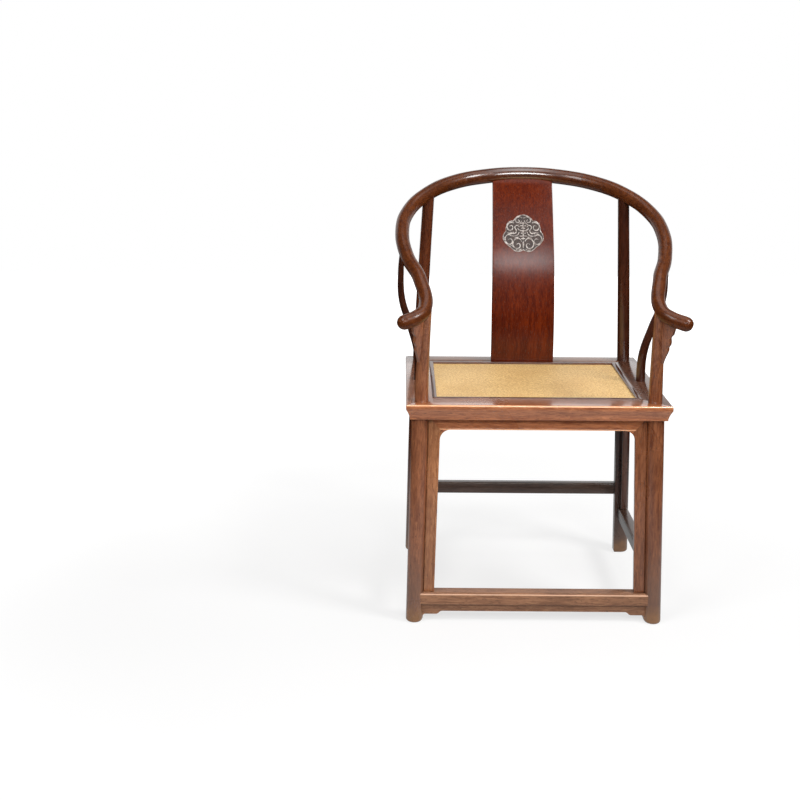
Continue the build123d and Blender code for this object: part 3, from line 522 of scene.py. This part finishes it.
def inner_edge(half_top, half_foot, length, grow):
    """The rounded inner edge of an apron frame, from one foot over the top to the other, grown outwards."""
    high = half_top - stile_width + grow
    low = high + (half_foot - half_top) * length / seat_under + 0.001
    radius = opening_round + grow
    line = apron_drop - grow
    right = arc(high - radius, -line - radius, radius, 90, 0, 10)
    right.append((low, -length))
    return [(-x, y) for x, y in right[::-1]] + right


def apron_frame(half_top, half_foot, length):
    """The whole apron frame in one piece, with its bead, in the XY plane."""
    inner = inner_edge(half_top, half_foot, length, 0)
    head = half_top - 0.0003
    foot = head + (half_foot - half_top) * length / seat_under
    outer = [(foot, -length), (head, 0.002), (-head, 0.002), (-foot, -length)]
    whole = eased(board(inner + outer, apron_thickness), 0.0022, 3)
    bead = board(inner + inner_edge(half_top, half_foot, length, 0.0045)[::-1], 0.0032)
    bead = eased(bead, 0.0010, 3)
    bead.location.z = apron_thickness / 2 - 0.0004
    return joined(whole, settle(bead))


def apron_set(half_top, half_foot, length):
    """The top apron and its right-hand stile, sawn apart at the mitre."""
    whole = apron_frame(half_top, half_foot, length)
    corner = (half_top - stile_width, -apron_drop, 0)
    towards = (apron_drop, -stile_width, 0)
    away = (-apron_drop, stile_width, 0)
    stile = sawn(copied(whole), corner, away)
    top = sawn(whole, corner, towards)
    top = sawn(top, (-corner[0], corner[1], 0), (-towards[0], towards[1], 0))
    return top, stile


# The stiles come in three copies of one rosewood whose tones paint the light they get: the front left stile
# is painted lit, the front right and the left side's stiles are darker, and the right side's stiles are in
# painted shade.
painted_lit_stile = rosewood("rosewood_stile_pale", (0.255, 0.093, 0.037), (0.435, 0.183, 0.078))
stile_wood = rosewood("rosewood_stile", (0.150, 0.046, 0.018), (0.285, 0.102, 0.042))
painted_shade_stile = rosewood("rosewood_stile_brown", (0.052, 0.016, 0.0075), (0.105, 0.036, 0.017))
front_top, front_stile = apron_set(front_half, front_half + splay_x, 0.412)
fit(stand(front_top, *front_plane), "front_apron_board", "front_apron_top", painted_lit_front_wood)
stand(front_stile, *front_plane)
fit_pair(front_stile, "front_apron_stile_*_lining", "front_apron_stile_*", painted_lit_stile, stile_wood)

side_top, side_stile = apron_set(side_half, side_half + splay_y, 0.354)
far_stile = mirrored(side_stile)
stand(side_top, *right_plane)
fit_pair(side_top, "side_apron_*_board", "side_apron_top_*", painted_lit_left_side_wood, painted_shade_right_side_wood)
for name, stile in (("rear", side_stile), ("front", far_stile)):
    stand(stile, *right_plane)
    node = "side_apron_" + name + "_stile_*"
    fit_pair(stile, node + "_lining", node, stile_wood, painted_shade_stile)

back_half = front_half + 0.008
back_foot = back_half + 0.0004
outline = [(-back_foot, -apron_drop), (back_foot, -apron_drop), (back_half, 0.002), (-back_half, 0.002)]
back_board = stand(eased(board(outline, apron_thickness), 0.0015, 3), *back_plane)
fit(back_board, "back_apron_board", "back_apron", painted_shade_back_wood)

# ---- Stretchers
# Four rosewood bars tenoned into the legs: the footrest at the front is the lowest, the side ones are
# higher and the back one highest. Their long edges are rounded; a bead runs along the footrest's top edge.


def bar(width, height, length, rounding):
    """A bar along X with rounded long edges."""
    clear()
    bpy.ops.mesh.primitive_cube_add(size=1)
    piece = bpy.context.object
    piece.scale = (length, width, height)
    settle(piece)
    pick(piece, lambda at: abs(at.x) < 1e-4, "EDGE")
    bpy.ops.mesh.bevel(offset=rounding, segments=5)
    done()
    return piece


side_stretcher = bar(width=0.026, height=0.031, length=0.412, rounding=0.0045)
side_stretcher.rotation_euler.z = pi / 2
side_stretcher.location = (0.2718, seat_middle, 0.1125)
settle(side_stretcher)
shaded_bar = rosewood("rosewood_shaded_bar", (0.040, 0.021, 0.014), (0.078, 0.045, 0.032), along_y, coat=0.2)
fit_pair(side_stretcher, "stretcher_*_bar", "stretcher_*", painted_lit_left_side_wood, shaded_bar)
crosswise_length = 0.530
back_stretcher = bar(width=0.022, height=0.030, length=crosswise_length, rounding=0.004)
back_stretcher.location = (0, seat_middle + 0.2094, 0.173)
# The back stretcher's dark, greyish tone is painted shade from under the seat.
painted_shade_stretcher_wood = rosewood("rosewood_back_stretcher_painted_shade", (0.052, 0.027, 0.019), (0.098, 0.058, 0.042), along_x)
fit(back_stretcher, "stretcher_back_bar", "stretcher_back", painted_shade_stretcher_wood)

footrest_under = 0.042
footrest_face = seat_middle - 0.22384
groove = [(0.0034, 0.028), (0.0048, 0.0266), (0.0062, 0.028)]
section = arc(0.0026, 0.0250, 0.0026, 180, 100, 4) + groove + arc(0.031, 0.024, 0.004, 90, 0, 5)
section += arc(0.031, 0.004, 0.004, 0, -90, 5) + arc(0.003, 0.003, 0.003, -90, -180, 4)
footrest = board(section, crosswise_length)
stand(footrest, (0, footrest_face, footrest_under), (0, 1, 0), (1, 0, 0))
# The thin pale line along the footrest's top edge is a painted highlight.
footrest_wood = rosewood(
    "rosewood_footrest", (0.195, 0.082, 0.038), (0.340, 0.158, 0.078), along_x,
    gloss=0.45, coat=0.2, arrises=(footrest_under + 0.0254,),
)
fit(footrest, "footrest_bar", "stretcher_front", footrest_wood)

# ---- Apron under the footrest
# A thin rosewood board with an ogee step down to a flat bracket at each end and a small curled toe
# against the leg.
middle_low = 0.0243
bracket_low = 0.0168
toe_low = 0.0078
toe_out = 0.255
bracket_in = toe_out - 0.030
step_radius = (0.008**2 + 0.00375**2) / (2 * 0.00375)
swing = 50.2
ogee = arc(bracket_in - 0.016, middle_low - step_radius, step_radius, 90, 90 - swing, 5)
ogee += arc(bracket_in, bracket_low + step_radius, step_radius, 270 - swing, 270, 5)
toe = []
for i in range(7):
    angle = radians(15 * i)
    toe.append((toe_out - 0.006 + 0.006 * sin(angle), toe_low + (bracket_low - toe_low) * cos(angle)))
right = ogee + toe + [(0.262, toe_low), (0.262, footrest_under + 0.001)]
apron = board(right + [(-x, z) for x, z in right[::-1]], 0.009)
stand(apron, (0, footrest_face + 0.0125, 0), (1, 0, 0), (0, -1, 0))
fit(eased(apron, 0.0012, 3), "footrest_apron_board", "footrest_apron", footrest_wood)

# ---- Braces and webbing under the seat
# Two bowed cross pieces of plain wood are tenoned into the front and back rails. A net of palm-fibre
# straps, woven over and under, is stretched in the rebate and carries the cane.
plain_wood = Finish("under_seat_wood")
place = plain_wood.node("TexCoord", output="Object")
sawn_lines = plain_wood.node("Mapping", {"vector_type": "TEXTURE"}, {"Vector": place, "Scale": (1, 14, 1)})
grain = plain_wood.node("TexNoise", {}, {"Vector": sawn_lines, "Scale": 160, "Detail": 4})
dust = plain_wood.node("TexNoise", {}, {"Vector": place, "Scale": 18, "Detail": 3})
color = plain_wood.mix(plain_wood.ramp(grain, 0.35, 0.65), (0.070, 0.030, 0.014), (0.18, 0.085, 0.042))
color = plain_wood.mix(plain_wood.ramp(dust, 0.5, 0.75) * 0.4, color, (0.20, 0.14, 0.09))
bump = plain_wood.node("Bump", {}, {"Height": grain, "Strength": 0.4, "Distance": 0.001})
plain_wood.plug(plain_wood.shader, {"Base Color": color, "Roughness": 0.62 + dust * 0.2, "Normal": bump})

brace_reach = 0.164
brace_width = 0.030
brace_thickness = 0.018
brace_spacing = 0.170
brace_bow = 0.014
brace_top = 0.503
brace_chord = [-brace_reach + 2 * brace_reach * i / 14 for i in range(15)]
upper = [(y, brace_top - brace_bow * (1 - (y / brace_reach) ** 2)) for y in brace_chord]
lower = [(y, z - brace_thickness) for y, z in upper[::-1]]
for side, name in ((-1, "left"), (1, "right")):
    brace = eased(board(upper + lower, brace_width), 0.0015, 2)
    stand(brace, (side * brace_spacing / 2, seat_middle, 0), (0, 1, 0), (1, 0, 0))
    fit(brace, "seat_brace_" + name + "_bowed", "seat_brace_" + name, plain_wood.material)

fibre = Finish("palm_fibre")
place = fibre.node("TexCoord", output="Object")
strand = fibre.node("TexNoise", {}, {"Vector": place, "Scale": 700, "Detail": 3})
clump = fibre.node("TexNoise", {}, {"Vector": place, "Scale": 90, "Detail": 2})
color = fibre.mix(fibre.ramp(strand, 0.35, 0.65), (0.045, 0.024, 0.012), (0.20, 0.125, 0.065))
color = fibre.mix(clump * 0.4, color, (0.10, 0.06, 0.03))
bump = fibre.node("Bump", {}, {"Height": strand, "Strength": 0.6, "Distance": 0.001})
fibre.plug(fibre.shader, {"Base Color": color, "Roughness": 0.85 + strand * 0.1, "Normal": bump})

mat_x = 0.2309
mat_y = 0.1689
strap_width = 0.006
net_middle = 0.5110


def strap(reach, crossings, first):
    """A wavy strap along X that passes over and under the straps it crosses."""
    count = crossings * 4
    line = []
    for i in range(count + 1):
        share = i / count
        wave = 0.0006 * cos(pi * (crossings - 1) * share + (0 if first else pi))
        line.append((reach * (2 * share - 1), net_middle + wave))
    upper = [(x, z + 0.0005) for x, z in line]
    lower = [(x, z - 0.0005) for x, z in line[::-1]]
    return board(upper + lower, strap_width)


straps = []
lengthways, crossways = 15, 12
for i in range(crossways):
    y = seat_middle + (mat_y - strap_width / 2) * (2 * i / (crossways - 1) - 1)
    straps.append(stand(strap(mat_x, lengthways, i % 2), (0, y, 0), (1, 0, 0), (0, -1, 0)))
for i in range(lengthways):
    x = (mat_x - strap_width / 2) * (2 * i / (lengthways - 1) - 1)
    straps.append(stand(strap(mat_y, crossways, (i + 1) % 2), (x, seat_middle, 0), (0, 1, 0), (1, 0, 0)))
fit(joined(*straps), "palm_fibre_net", "seat_webbing", fibre.material, 20)

# ---- Woven cane seat
# A mat of fine split-cane strips, about two and a half millimetres wide, in a lozenge twill. It is laid
# over the net, drawn tight into the rebate, and has gone golden with a slight sag.
cane = Finish("woven_cane")
place = cane.node("TexCoord", output="Object")
parts = {axis: cane.node("SeparateXYZ", {}, {0: place}, output=axis) for axis in "XY"}
strip = 0.0025
across = parts["X"] / strip + 200.5
along = parts["Y"] / strip + 200.5
column = cane.node("Math", {"operation": "FLOOR"}, {0: across})
row = cane.node("Math", {"operation": "FLOOR"}, {0: along})
zigzag = cane.node("Math", {"operation": "PINGPONG"}, {0: column, 1: 14})
zagzig = cane.node("Math", {"operation": "PINGPONG"}, {0: row, 1: 14})
step = cane.node("Math", {"operation": "MODULO"}, {0: zigzag + zagzig, 1: 4})
crosswise = 1 - (step > 1.5)
round_x = 1 - (2 * (along - row) - 1) ** 2
round_y = 1 - (2 * (across - column) - 1) ** 2
crown = crosswise * round_x + (1 - crosswise) * round_y
spot = cane.node("CombineXYZ", {}, {"X": column, "Y": row, "Z": crosswise})
tint = cane.node("TexWhiteNoise", {"noise_dimensions": "3D"}, {"Vector": spot})
cloud = cane.node("TexNoise", {}, {"Vector": place, "Scale": 11, "Detail": 3})
color = cane.mix(tint, (0.72, 0.420, 0.145), (1.0, 0.720, 0.320))
# Painted sheen: the crosswise strands are painted lighter.
color = cane.mix(crosswise * 0.30, color, (1.0, 0.76, 0.40))
color = cane.mix(cane.ramp(cloud, 0.45, 0.7) * 0.35, color, (0.66, 0.38, 0.13))
dapple = cane.node("TexNoise", {}, {"Vector": place, "Scale": 210, "Detail": 1})
color = cane.mix(cane.ramp(dapple, 0.46, 0.60) * 0.42, color, (0.50, 0.235, 0.060))
# Partly painted shade: each strand darkens towards its edges, where the round strand turns away, and into the
# dark gaps between strands.
color = cane.mix((1 - cane.ramp(crown, 0.0, 0.42)) * 0.62, color, (0.155, 0.080, 0.028))
bump = cane.node("Bump", {}, {"Height": crown, "Strength": 0.7, "Distance": 0.0007})
cane.plug(cane.shader, {"Base Color": color, "Roughness": 0.42 + tint * 0.12, "Normal": bump})

mat_rest = Vector((0, seat_middle, 0.5132))
clear()
bpy.ops.mesh.primitive_grid_add(x_subdivisions=28, y_subdivisions=20, size=1, location=mat_rest)
mat = bpy.context.object
mat.scale = (2 * mat_x, 2 * mat_y, 1)
settle(mat)
pick(mat, lambda at: at.x**2 + (at.y - seat_middle) ** 2 < 0.0004, "VERT")
bpy.ops.transform.translate(
    value=(0, 0, -0.0012), use_proportional_edit=True,
    proportional_edit_falloff="SMOOTH", proportional_size=0.16,
)
done()
take(mat)
wall = mat.modifiers.new("thickness", "SOLIDIFY")
wall.thickness = 0.0008
wall.offset = 1
bpy.ops.object.modifier_apply(modifier=wall.name)
fit(mat, "cane_mat", "woven_cane_seat", cane.material)

# ---- Cover strips and pins
# Four slim rosewood strips with a rounded top lie in the rebate and lap over the edge of the cane.
# Small bamboo pins hold them; their heads are cut flush and waxed over.
strip_top = 0.519
inner_side = rail_width - rebate
section = [(inner_side, rebate_floor), (inner_side + 0.005, rebate_floor), (inner_side + 0.005, 0.5141)]
section += [(rail_width, 0.5141)] + arc(rail_width - 0.0025, strip_top - 0.0025, 0.0025, 0, 90, 4)
section += arc(inner_side + 0.0012, strip_top - 0.0012, 0.0012, 90, 180, 2)
strip_across = rosewood("rosewood_strip_across", (0.060, 0.017, 0.0070), (0.120, 0.038, 0.016), along_x)
strip_along = rosewood("rosewood_strip_along", (0.050, 0.015, 0.0065), (0.100, 0.034, 0.015), along_y)
for side, name in ((-1, "front"), (1, "back")):
    fit(mitred_side(section, True, side), "cover_strip_" + name, "cane_strip_" + name, strip_across)
for side, name in ((-1, "left"), (1, "right")):
    fit(mitred_side(section, False, side), "cover_strip_" + name, "cane_strip_" + name, strip_along)


def dress(node, finish):
    """Gives a node that keeps its shape a better finish."""
    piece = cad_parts[node]
    for holder in piece.material_slots:
        holder.material = finish


bamboo = Finish("bamboo_pin")
place = bamboo.node("TexCoord", output="Object")
fleck = bamboo.node("TexNoise", {}, {"Vector": place, "Scale": 900, "Detail": 2})
color = bamboo.mix(fleck, (0.17, 0.085, 0.04), (0.34, 0.19, 0.09))
bamboo.plug(bamboo.shader, {"Base Color": color, "Roughness": 0.35 + fleck * 0.2})
dress("cane_strip_pins", bamboo.material)

# ---- Back splat
# One rosewood board, curved to the sitter's back, tongued into the back rail and the crest rail. It
# narrows a little towards the top. A lobed medallion of scrolls round a long-life sign is carved in it.
splat_line = [
    (0.504, 0.1770), (0.518, 0.1770), (0.5786, 0.1750), (0.6580, 0.1800), (0.7652, 0.1980), (0.8679, 0.2350),
    (0.9565, 0.2720), (0.9845, 0.2920),
]
splat_half = 0.0055


def splat_middle(z):
    """Depth and slope of the splat's middle at a height, on a smooth line through its points."""
    slopes = []
    for i in range(len(splat_line)):
        low, high = splat_line[max(i - 1, 0)], splat_line[min(i + 1, len(splat_line) - 1)]
        slopes.append((high[1] - low[1]) / (high[0] - low[0]))
    for i in range(len(splat_line) - 1):
        (z0, y0), (z1, y1) = splat_line[i], splat_line[i + 1]
        if z <= z1 or i == len(splat_line) - 2:
            reach = z1 - z0
            t = (z - z0) / reach
            m0, m1 = slopes[i] * reach, slopes[i + 1] * reach
            y = (2 * t**3 - 3 * t**2 + 1) * y0 + (t**3 - 2 * t**2 + t) * m0
            y += (3 * t**2 - 2 * t**3) * y1 + (t**3 - t**2) * m1
            rate = (6 * t**2 - 6 * t) * y0 + (3 * t**2 - 4 * t + 1) * m0
            rate += (6 * t - 6 * t**2) * y1 + (3 * t**2 - 2 * t) * m1
            return y, rate / reach


def on_splat(x, z, out):
    """A point of the splat that stands out from the middle of its thickness, towards the sitter."""
    y, slope = splat_middle(z)
    ahead = Vector((0, -1, slope)).normalized()
    return Vector((x, y, z)) + ahead * out


splat_foot = 0.509
splat_reach = 0.469
taper_from = 0.658
heights = [splat_foot + splat_reach * i / 72 for i in range(73)]
front = [on_splat(0, z, splat_half) for z in heights]
rear = [on_splat(0, z, -splat_half) for z in heights]
side_view = [(at.y, at.z) for at in front] + [(at.y, at.z) for at in rear[::-1]]
splat = stand(board(side_view, 0.158), (0, 0, 0), (0, 1, 0), (1, 0, 0))
for corner in splat.data.vertices:
    corner.co.x *= 1 - 0.038 * max(0, corner.co.z - taper_from) / 0.326
eased(splat, 0.0018, 3, 60)

medal_z = 0.839
medal_tilt = splat_middle(medal_z)[1]
upward = (1 + medal_tilt**2) ** 0.5
lobes = [
    (0, 0.0450), (0.0150, 0.0405), (0.0247, 0.0300), (0.0394, 0.0243), (0.0444, 0.0045), (0.0510, -0.0150),
    (0.0323, -0.0345), (0.0172, -0.0445), (0, -0.0405),
]


def medal_edge(scale):
    """The right half of the medallion's lobed outline, from its point at the top to the bottom."""
    points = []
    for i in range(0, len(lobes) - 2, 2):
        (x0, y0), (xm, ym), (x1, y1) = lobes[i : i + 3]
        for step in range(8):
            t = step / 8
            a, b, c = (1 - t) * (1 - 2 * t), 4 * t * (1 - t), t * (2 * t - 1)
            points.append(((a * x0 + b * xm + c * x1) * scale, (a * y0 + b * ym + c * y1) * scale))
    return points + [(lobes[-1][0] * scale, lobes[-1][1] * scale)]


def all_round(half):
    return half + [(-x, y) for x, y in half[-2:0:-1]]


recess = board([(x, y * upward) for x, y in all_round(medal_edge(1))], 0.008)
centre = on_splat(0, medal_z, splat_half)
stand(recess, centre, (1, 0, 0), (0, -1, medal_tilt))
cut(splat, recess)
splat_wood = rosewood(
    "rosewood_splat", (0.062, 0.0052, 0.0005), (0.126, 0.0160, 0.0017), gloss=0.20, specular=0.3, coat=0
)
fit(splat, "splat_board", "back_splat", splat_wood)


def waxed_carving(name, deep, bright, gloss):
    """Carved wood under a wax coat, between two tones: dark for painted shade, pale for painted highlights.
    """
    carved = Finish(name)
    place = carved.node("TexCoord", output="Object")
    worn = carved.node("TexNoise", {}, {"Vector": place, "Scale": 160, "Detail": 3})
    color = carved.mix(carved.ramp(worn, 0.35, 0.65), deep, bright)
    bump = carved.node("Bump", {}, {"Height": worn, "Strength": 0.3, "Distance": 0.0006})
    rough = gloss + worn * 0.1
    carved.plug(carved.shader, {"Base Color": color, "Roughness": rough, "Normal": bump, "Coat Weight": 0.5})
    return carved.material


def laid_on_splat(piece):
    """Bends a flat carving, drawn round the medallion's middle with Z as relief, onto the splat."""
    for corner in piece.data.vertices:
        corner.co = on_splat(corner.co.x, medal_z + corner.co.y, splat_half + corner.co.z)
    return piece


ground = board(all_round(medal_edge(0.998)), 0.0006)
take(ground)
bpy.ops.object.mode_set(mode="EDIT")
for i in range(1, 18):
    bpy.ops.mesh.select_all(action="SELECT")
    bpy.ops.mesh.bisect(plane_co=(0, -0.045 + 0.005 * i, 0), plane_no=(0, 1, 0))
done()
for corner in ground.data.vertices:
    corner.co.z -= 0.0019
# The recessed ground is painted dark, a painted shade in the recess.
painted_shade_ground_wood = waxed_carving("carved_ground_painted_shade", (0.015, 0.0065, 0.0040), (0.045, 0.021, 0.014), 0.45)
fit(laid_on_splat(ground), "medallion_ground", None, painted_shade_ground_wood, smooth=50)
carving = []

# Right-hand scroll lines, in millimetres from the medallion's middle.
strokes = [
    [(2, 37), (9, 40), (17, 36), (19, 30), (14, 26), (9, 29), (12, 33)],
    [(3, 31), (7, 24), (13, 21)],
    [(23, 25), (31, 26), (39, 21), (40, 12), (34, 7), (27, 10), (28, 18), (34, 17)],
    [(9, 15), (16, 19), (21, 14), (17, 6), (22, -1), (31, 2), (41, 1)],
    [(10, 3), (14, -4), (22, -7), (30, -6)],
    [(29, -7), (38, -4), (46, -11), (44, -21), (36, -27), (28, -22), (31, -14), (38, -15)],
    [(4, -20), (9, -14), (19, -14), (26, -23), (24, -33), (15, -37), (8, -32), (11, -25), (17, -27)],
    [(5, -38), (11, -41), (19, -40)],
    [(28, -30), (33, -30)],
    [(11, -9), (17, -11), (22, -12)],
    [(24, 3), (29, -1), (37, -2), (43, -5)],
    [(7, 8), (12, 9), (13, 13)],
]
for stroke in strokes:
    last = len(stroke) - 1
    for hand in (-1, 1):
        stations = []
        for i, (x, y) in enumerate(stroke):
            size = 0.0036 * (1 - 0.45 * abs(2 * i / last - 0.9) ** 2)
            stations.append((hand * x / 1000, y / 1000, -0.0006, size * 0.8))
        carving.append(turned(stations, 5))
drop = [(0, -0.018, -0.001, 0.002), (0, -0.025, -0.0008, 0.005), (0, -0.036, -0.001, 0.002)]
carving.append(turned(drop, 5))
for hand in (-1, 1):
    edge = [(hand * x, y, 0.0001, 0.0019) for x, y in medal_edge(0.985)]
    carving.append(turned(edge, 2))
for y, half in ((24, 6), (18, 8), (12, 5), (6, 8.5), (0, 6), (-7, 9), (-13, 5)):
    rung = bar(0.0022, 0.0024, 2 * half / 1000, 0.0006)
    rung.location = (0, y / 1000, -0.0008)
    carving.append(settle(rung))
stem = bar(0.042, 0.0024, 0.0026, 0.0005)
stem.location = (0, 0.0055, -0.0008)
carving.append(settle(stem))
# The raised scrolls are painted pale grey, a painted highlight standing in for their shine.
painted_highlight_relief_wood = waxed_carving("carved_relief_painted_highlight", (0.200, 0.165, 0.145), (0.560, 0.500, 0.460), 0.22)
fit(laid_on_splat(joined(*carving)), "medallion_carving", None, painted_highlight_relief_wood, smooth=50)

# ---- Side posts
# A slim rosewood post rises from the middle of each side rail in an S-curve, bows outwards and thins
# towards the crest rail, into which it is tenoned.
post_line = [
    (0.2655, -0.0080, 0.5100, 0.0225), (0.2655, -0.0080, 0.5180, 0.0225), (0.2675, -0.0132, 0.5846, 0.0203),
    (0.2855, -0.0183, 0.6511, 0.0181), (0.3060, -0.0232, 0.7144, 0.0160), (0.3095, -0.0284, 0.7810, 0.0138),
    (0.3044, -0.0338, 0.8509, 0.0115),
]
side_post = turned([(x, y + seat_middle, z, size) for x, y, z, size in post_line], 8)
# Both side posts take the darkest copy of the leg wood, in painted shade.
fit_pair(side_post, "side_post_*_turned", "side_post_*", painted_deep_shade_wood, painted_deep_shade_wood)

# ---- Spandrels under the hands
# A small rosewood board with a cusped outer edge fills the angle between each front post and the hand
# of the crest rail. It stands in the plane of the two and is tongued into the post.
post_lean = Vector((0.2578, seat_middle - 0.2219, 0.6494))
post_up = (front_post_top - post_lean).normalized()
outward = Vector((0.0425, -0.042, 0))
outward = (outward - post_up * outward.dot(post_up)).normalized()
# The cusped outline in millimetres, outwards from the post and upwards from the spandrel's foot.
cusps = [
    (0, 0), (11, 0), (13, 5), (14.5, 12), (17, 22), (20.5, 32), (24.5, 42), (26.8, 50), (26.6, 57),
    (28.4, 60.5), (31, 65), (31.8, 73), (30.4, 81), (32.6, 86), (36.6, 91), (38.6, 99), (40.4, 108),
    (43, 118), (43, 128), (0, 140),
]
spandrel_height = 0.140
spandrel = board([(x / 1000, y / 1000) for x, y in cusps], 0.010)
stand(spandrel, front_post_top - post_up * spandrel_height, outward, outward.cross(post_up))
eased(spandrel, 0.0012, 2)
# The left spandrel takes the painted-lit copy of the leg wood, the right one the painted-shade copy.
fit_pair(spandrel, "spandrel_*_board", "spandrel_*", painted_lit_left_wood, painted_shade_right_wood)

# ---- Crest rail
# One round rosewood rail runs from hand to hand in a horseshoe and swells towards the back. It is made
# of five sections, sawn from the plank on a curve, lapped at slanting scarf joints with a wedge driven
# through each. Its ends curl outwards into rounded hands.
rail_line = [
    (0, 0.298, 0.4665, 0.0370), (0.096, 0.286, 0.4612, 0.0375), (0.180, 0.242, 0.4486, 0.0370),
    (0.245, 0.174, 0.4266, 0.0355), (0.292, 0.096, 0.3924, 0.0340), (0.307, 0.006, 0.3530, 0.0330),
    (0.295, -0.082, 0.3090, 0.0320), (0.267, -0.167, 0.2710, 0.0310), (0.257, -0.246, 0.2190, 0.0305),
    (0.276, -0.274, 0.2060, 0.0320), (0.2990, -0.288, 0.1990, 0.0330), (0.3045, -0.2912, 0.1976, 0.0318),
    (0.3090, -0.2940, 0.1964, 0.0265), (0.3120, -0.2960, 0.1956, 0.0182), (0.3133, -0.2969, 0.1952, 0.0085),
    (0.3136, -0.2971, 0.1951, 0.0006),
]
crest_wood = rosewood(
    "rosewood_crest", (0.044, 0.0090, 0.0018), (0.096, 0.025, 0.0060), along_x,
    gloss=0.30, specular=0.2, coat=0.2, haze=0.20, film=2.4, buffed=0.11,
)
arm_wood = rosewood(
    "rosewood_arm", (0.054, 0.0110, 0.0018), (0.114, 0.029, 0.0055), along_y,
    gloss=0.30, specular=0.2, coat=0.2, haze=0.20,
)
rail_right = [(x, y + seat_middle, z + seat_top, size) for x, y, z, size in rail_line]
shoulder_joint = 2
hand_joint = 6
overlap = 2
rail_left = [(-x, y, z, size) for x, y, z, size in rail_right[shoulder_joint + overlap : 0 : -1]]
scarf_half = 0.030


def lapped(section, station, sign):
    """Cuts a scarf: sign is 1 where the section ends and keeps its lower half, -1 where the next begins."""
    before, at, after = (Vector(rail_right[i][:3]) for i in (station - 1, station, station + 1))
    along = (after - before).normalized()
    across = Vector((0, 0, 1)).cross(along).normalized()
    sawn(section, at + along * scarf_half * sign, along * sign)
    clear()
    bpy.ops.mesh.primitive_cube_add(size=1, location=(sign * 0.010, 0, sign * 0.025))
    block = bpy.context.object
    block.scale = (2 * scarf_half + 0.020, 0.050, 0.050)
    settle(block)
    return cut(section, stand(block, at, along, along.cross(across)))


centre = turned(rail_left + rail_right[: shoulder_joint + overlap + 1], 10)
centre = lapped(centre, shoulder_joint, 1)
for corner in centre.data.vertices:
    corner.co.x *= -1
centre = facing_out(lapped(centre, shoulder_joint, 1))
fit(eased(centre, 0.0004, 1, 60), "crest_centre", "crest_rail_centre", crest_wood)
shoulder = lapped(turned(rail_right[: hand_joint + overlap + 1], 10), shoulder_joint, -1)
shoulder = lapped(shoulder, hand_joint, 1)
hand = lapped(turned(rail_right[hand_joint - overlap :], 10), hand_joint, -1)
for name, section in (("shoulder", shoulder), ("hand", hand)):
    eased(section, 0.0004, 1, 60)
    fit_pair(section, "crest_" + name + "_*", "crest_rail_" + name + "_*", arm_wood, arm_wood)
dress("scarf_wedges", arm_wood)

# ---- Floor and light
# A plain white floor keeps the chair's shadow and runs out into the white background. The key light is high
# on the right and the fill on the left; a wide panel hangs above the camera and a large dim one overhead.
clear()
bpy.ops.mesh.primitive_plane_add(size=18)
floor = bpy.context.object
floor.name = "floor"
white = Finish("floor_white")
place = white.node("TexCoord", output="Object")
reach = white.node("VectorMath", {"operation": "LENGTH"}, {0: place}, output="Value")
direct = white.node("LightPath", output="Is Camera Ray")
mirror = white.node("LightPath", output="Is Glossy Ray")
near = 1 - white.ramp(reach, 0.9, 2.2)
share = direct * (1 - 0.4 * near) + mirror
white.plug(white.shader, {"Base Color": (0.60, 0.597, 0.594, 1), "Roughness": 0.9, "Specular IOR Level": 0.2})
depth = white.node("SeparateXYZ", {}, {0: place}, output="Y")
seen = direct * (1.17 + 0.22 * white.ramp(depth, -0.4, 0.8))
reflected = mirror * 0.5 * (1 - white.ramp(reach, 0.7, 1.3))
glow = white.node("Emission", {}, {"Color": (1, 1, 1, 1), "Strength": seen + reflected})
blend = white.nodes.new("ShaderNodeMixShader")
white.links.new(share.socket, blend.inputs[0])
white.links.new(white.shader.outputs[0], blend.inputs[1])
white.links.new(glow.socket, blend.inputs[2])
white.links.new(blend.outputs[0], white.nodes["Material Output"].inputs["Surface"])
floor.data.materials.append(white.material)

clear()
bpy.ops.mesh.primitive_plane_add(size=1, location=(0, 4.5, 1.5), rotation=(pi / 2, 0, 0))
backdrop = bpy.context.object
backdrop.name = "backdrop"
backdrop.scale = (9, 5, 1)
sheet = Finish("backdrop_white")
direct = sheet.node("LightPath", output="Is Camera Ray")
mirror = sheet.node("LightPath", output="Is Glossy Ray")
glow = sheet.node("Emission", {}, {"Color": (1, 1, 1, 1), "Strength": direct + mirror})
sheet.links.new(glow.socket, sheet.nodes["Material Output"].inputs["Surface"])
backdrop.data.materials.append(sheet.material)


def softbox(name, place, aim, width, height, power):
    """A rectangular soft light that faces a point."""
    clear()
    bpy.ops.object.light_add(type="AREA", location=place)
    light = bpy.context.object
    light.name = name
    light.data.shape = "RECTANGLE"
    light.data.size = width
    light.data.size_y = height
    light.data.energy = power
    light.rotation_euler = (Vector(aim) - Vector(place)).to_track_quat("-Z", "Y").to_euler()


softbox("key", (1.89, -1.18, 2.80), (0, 0, 0.5), 0.80, 0.80, 64)
softbox("fill", (-1.72, -1.62, 2.55), (0, 0, 0.5), 1.2, 1.4, 42)
softbox("panel", (0.28, -2.53, 1.94), (0, 0.2, 0.80), 2.0, 0.62, 46)
softbox("overhead", (0.15, 0.0, 3.2), (0, 0, 0.5), 2.2, 2.0, 22)

world = bpy.data.worlds.new("studio")
bpy.context.scene.world = world
world.use_nodes = True
sky = world.node_tree
back = sky.nodes["Background"]
back.inputs["Color"].default_value = (1, 1, 1, 1)
rays = sky.nodes.new("ShaderNodeLightPath")
lift = sky.nodes.new("ShaderNodeMapRange")
lift.inputs["To Min"].default_value = 0.06
lift.inputs["To Max"].default_value = 1.0
sky.links.new(rays.outputs["Is Camera Ray"], lift.inputs["Value"])
sky.links.new(lift.outputs["Result"], back.inputs["Strength"])

bpy.context.scene.view_settings.view_transform = "Standard"
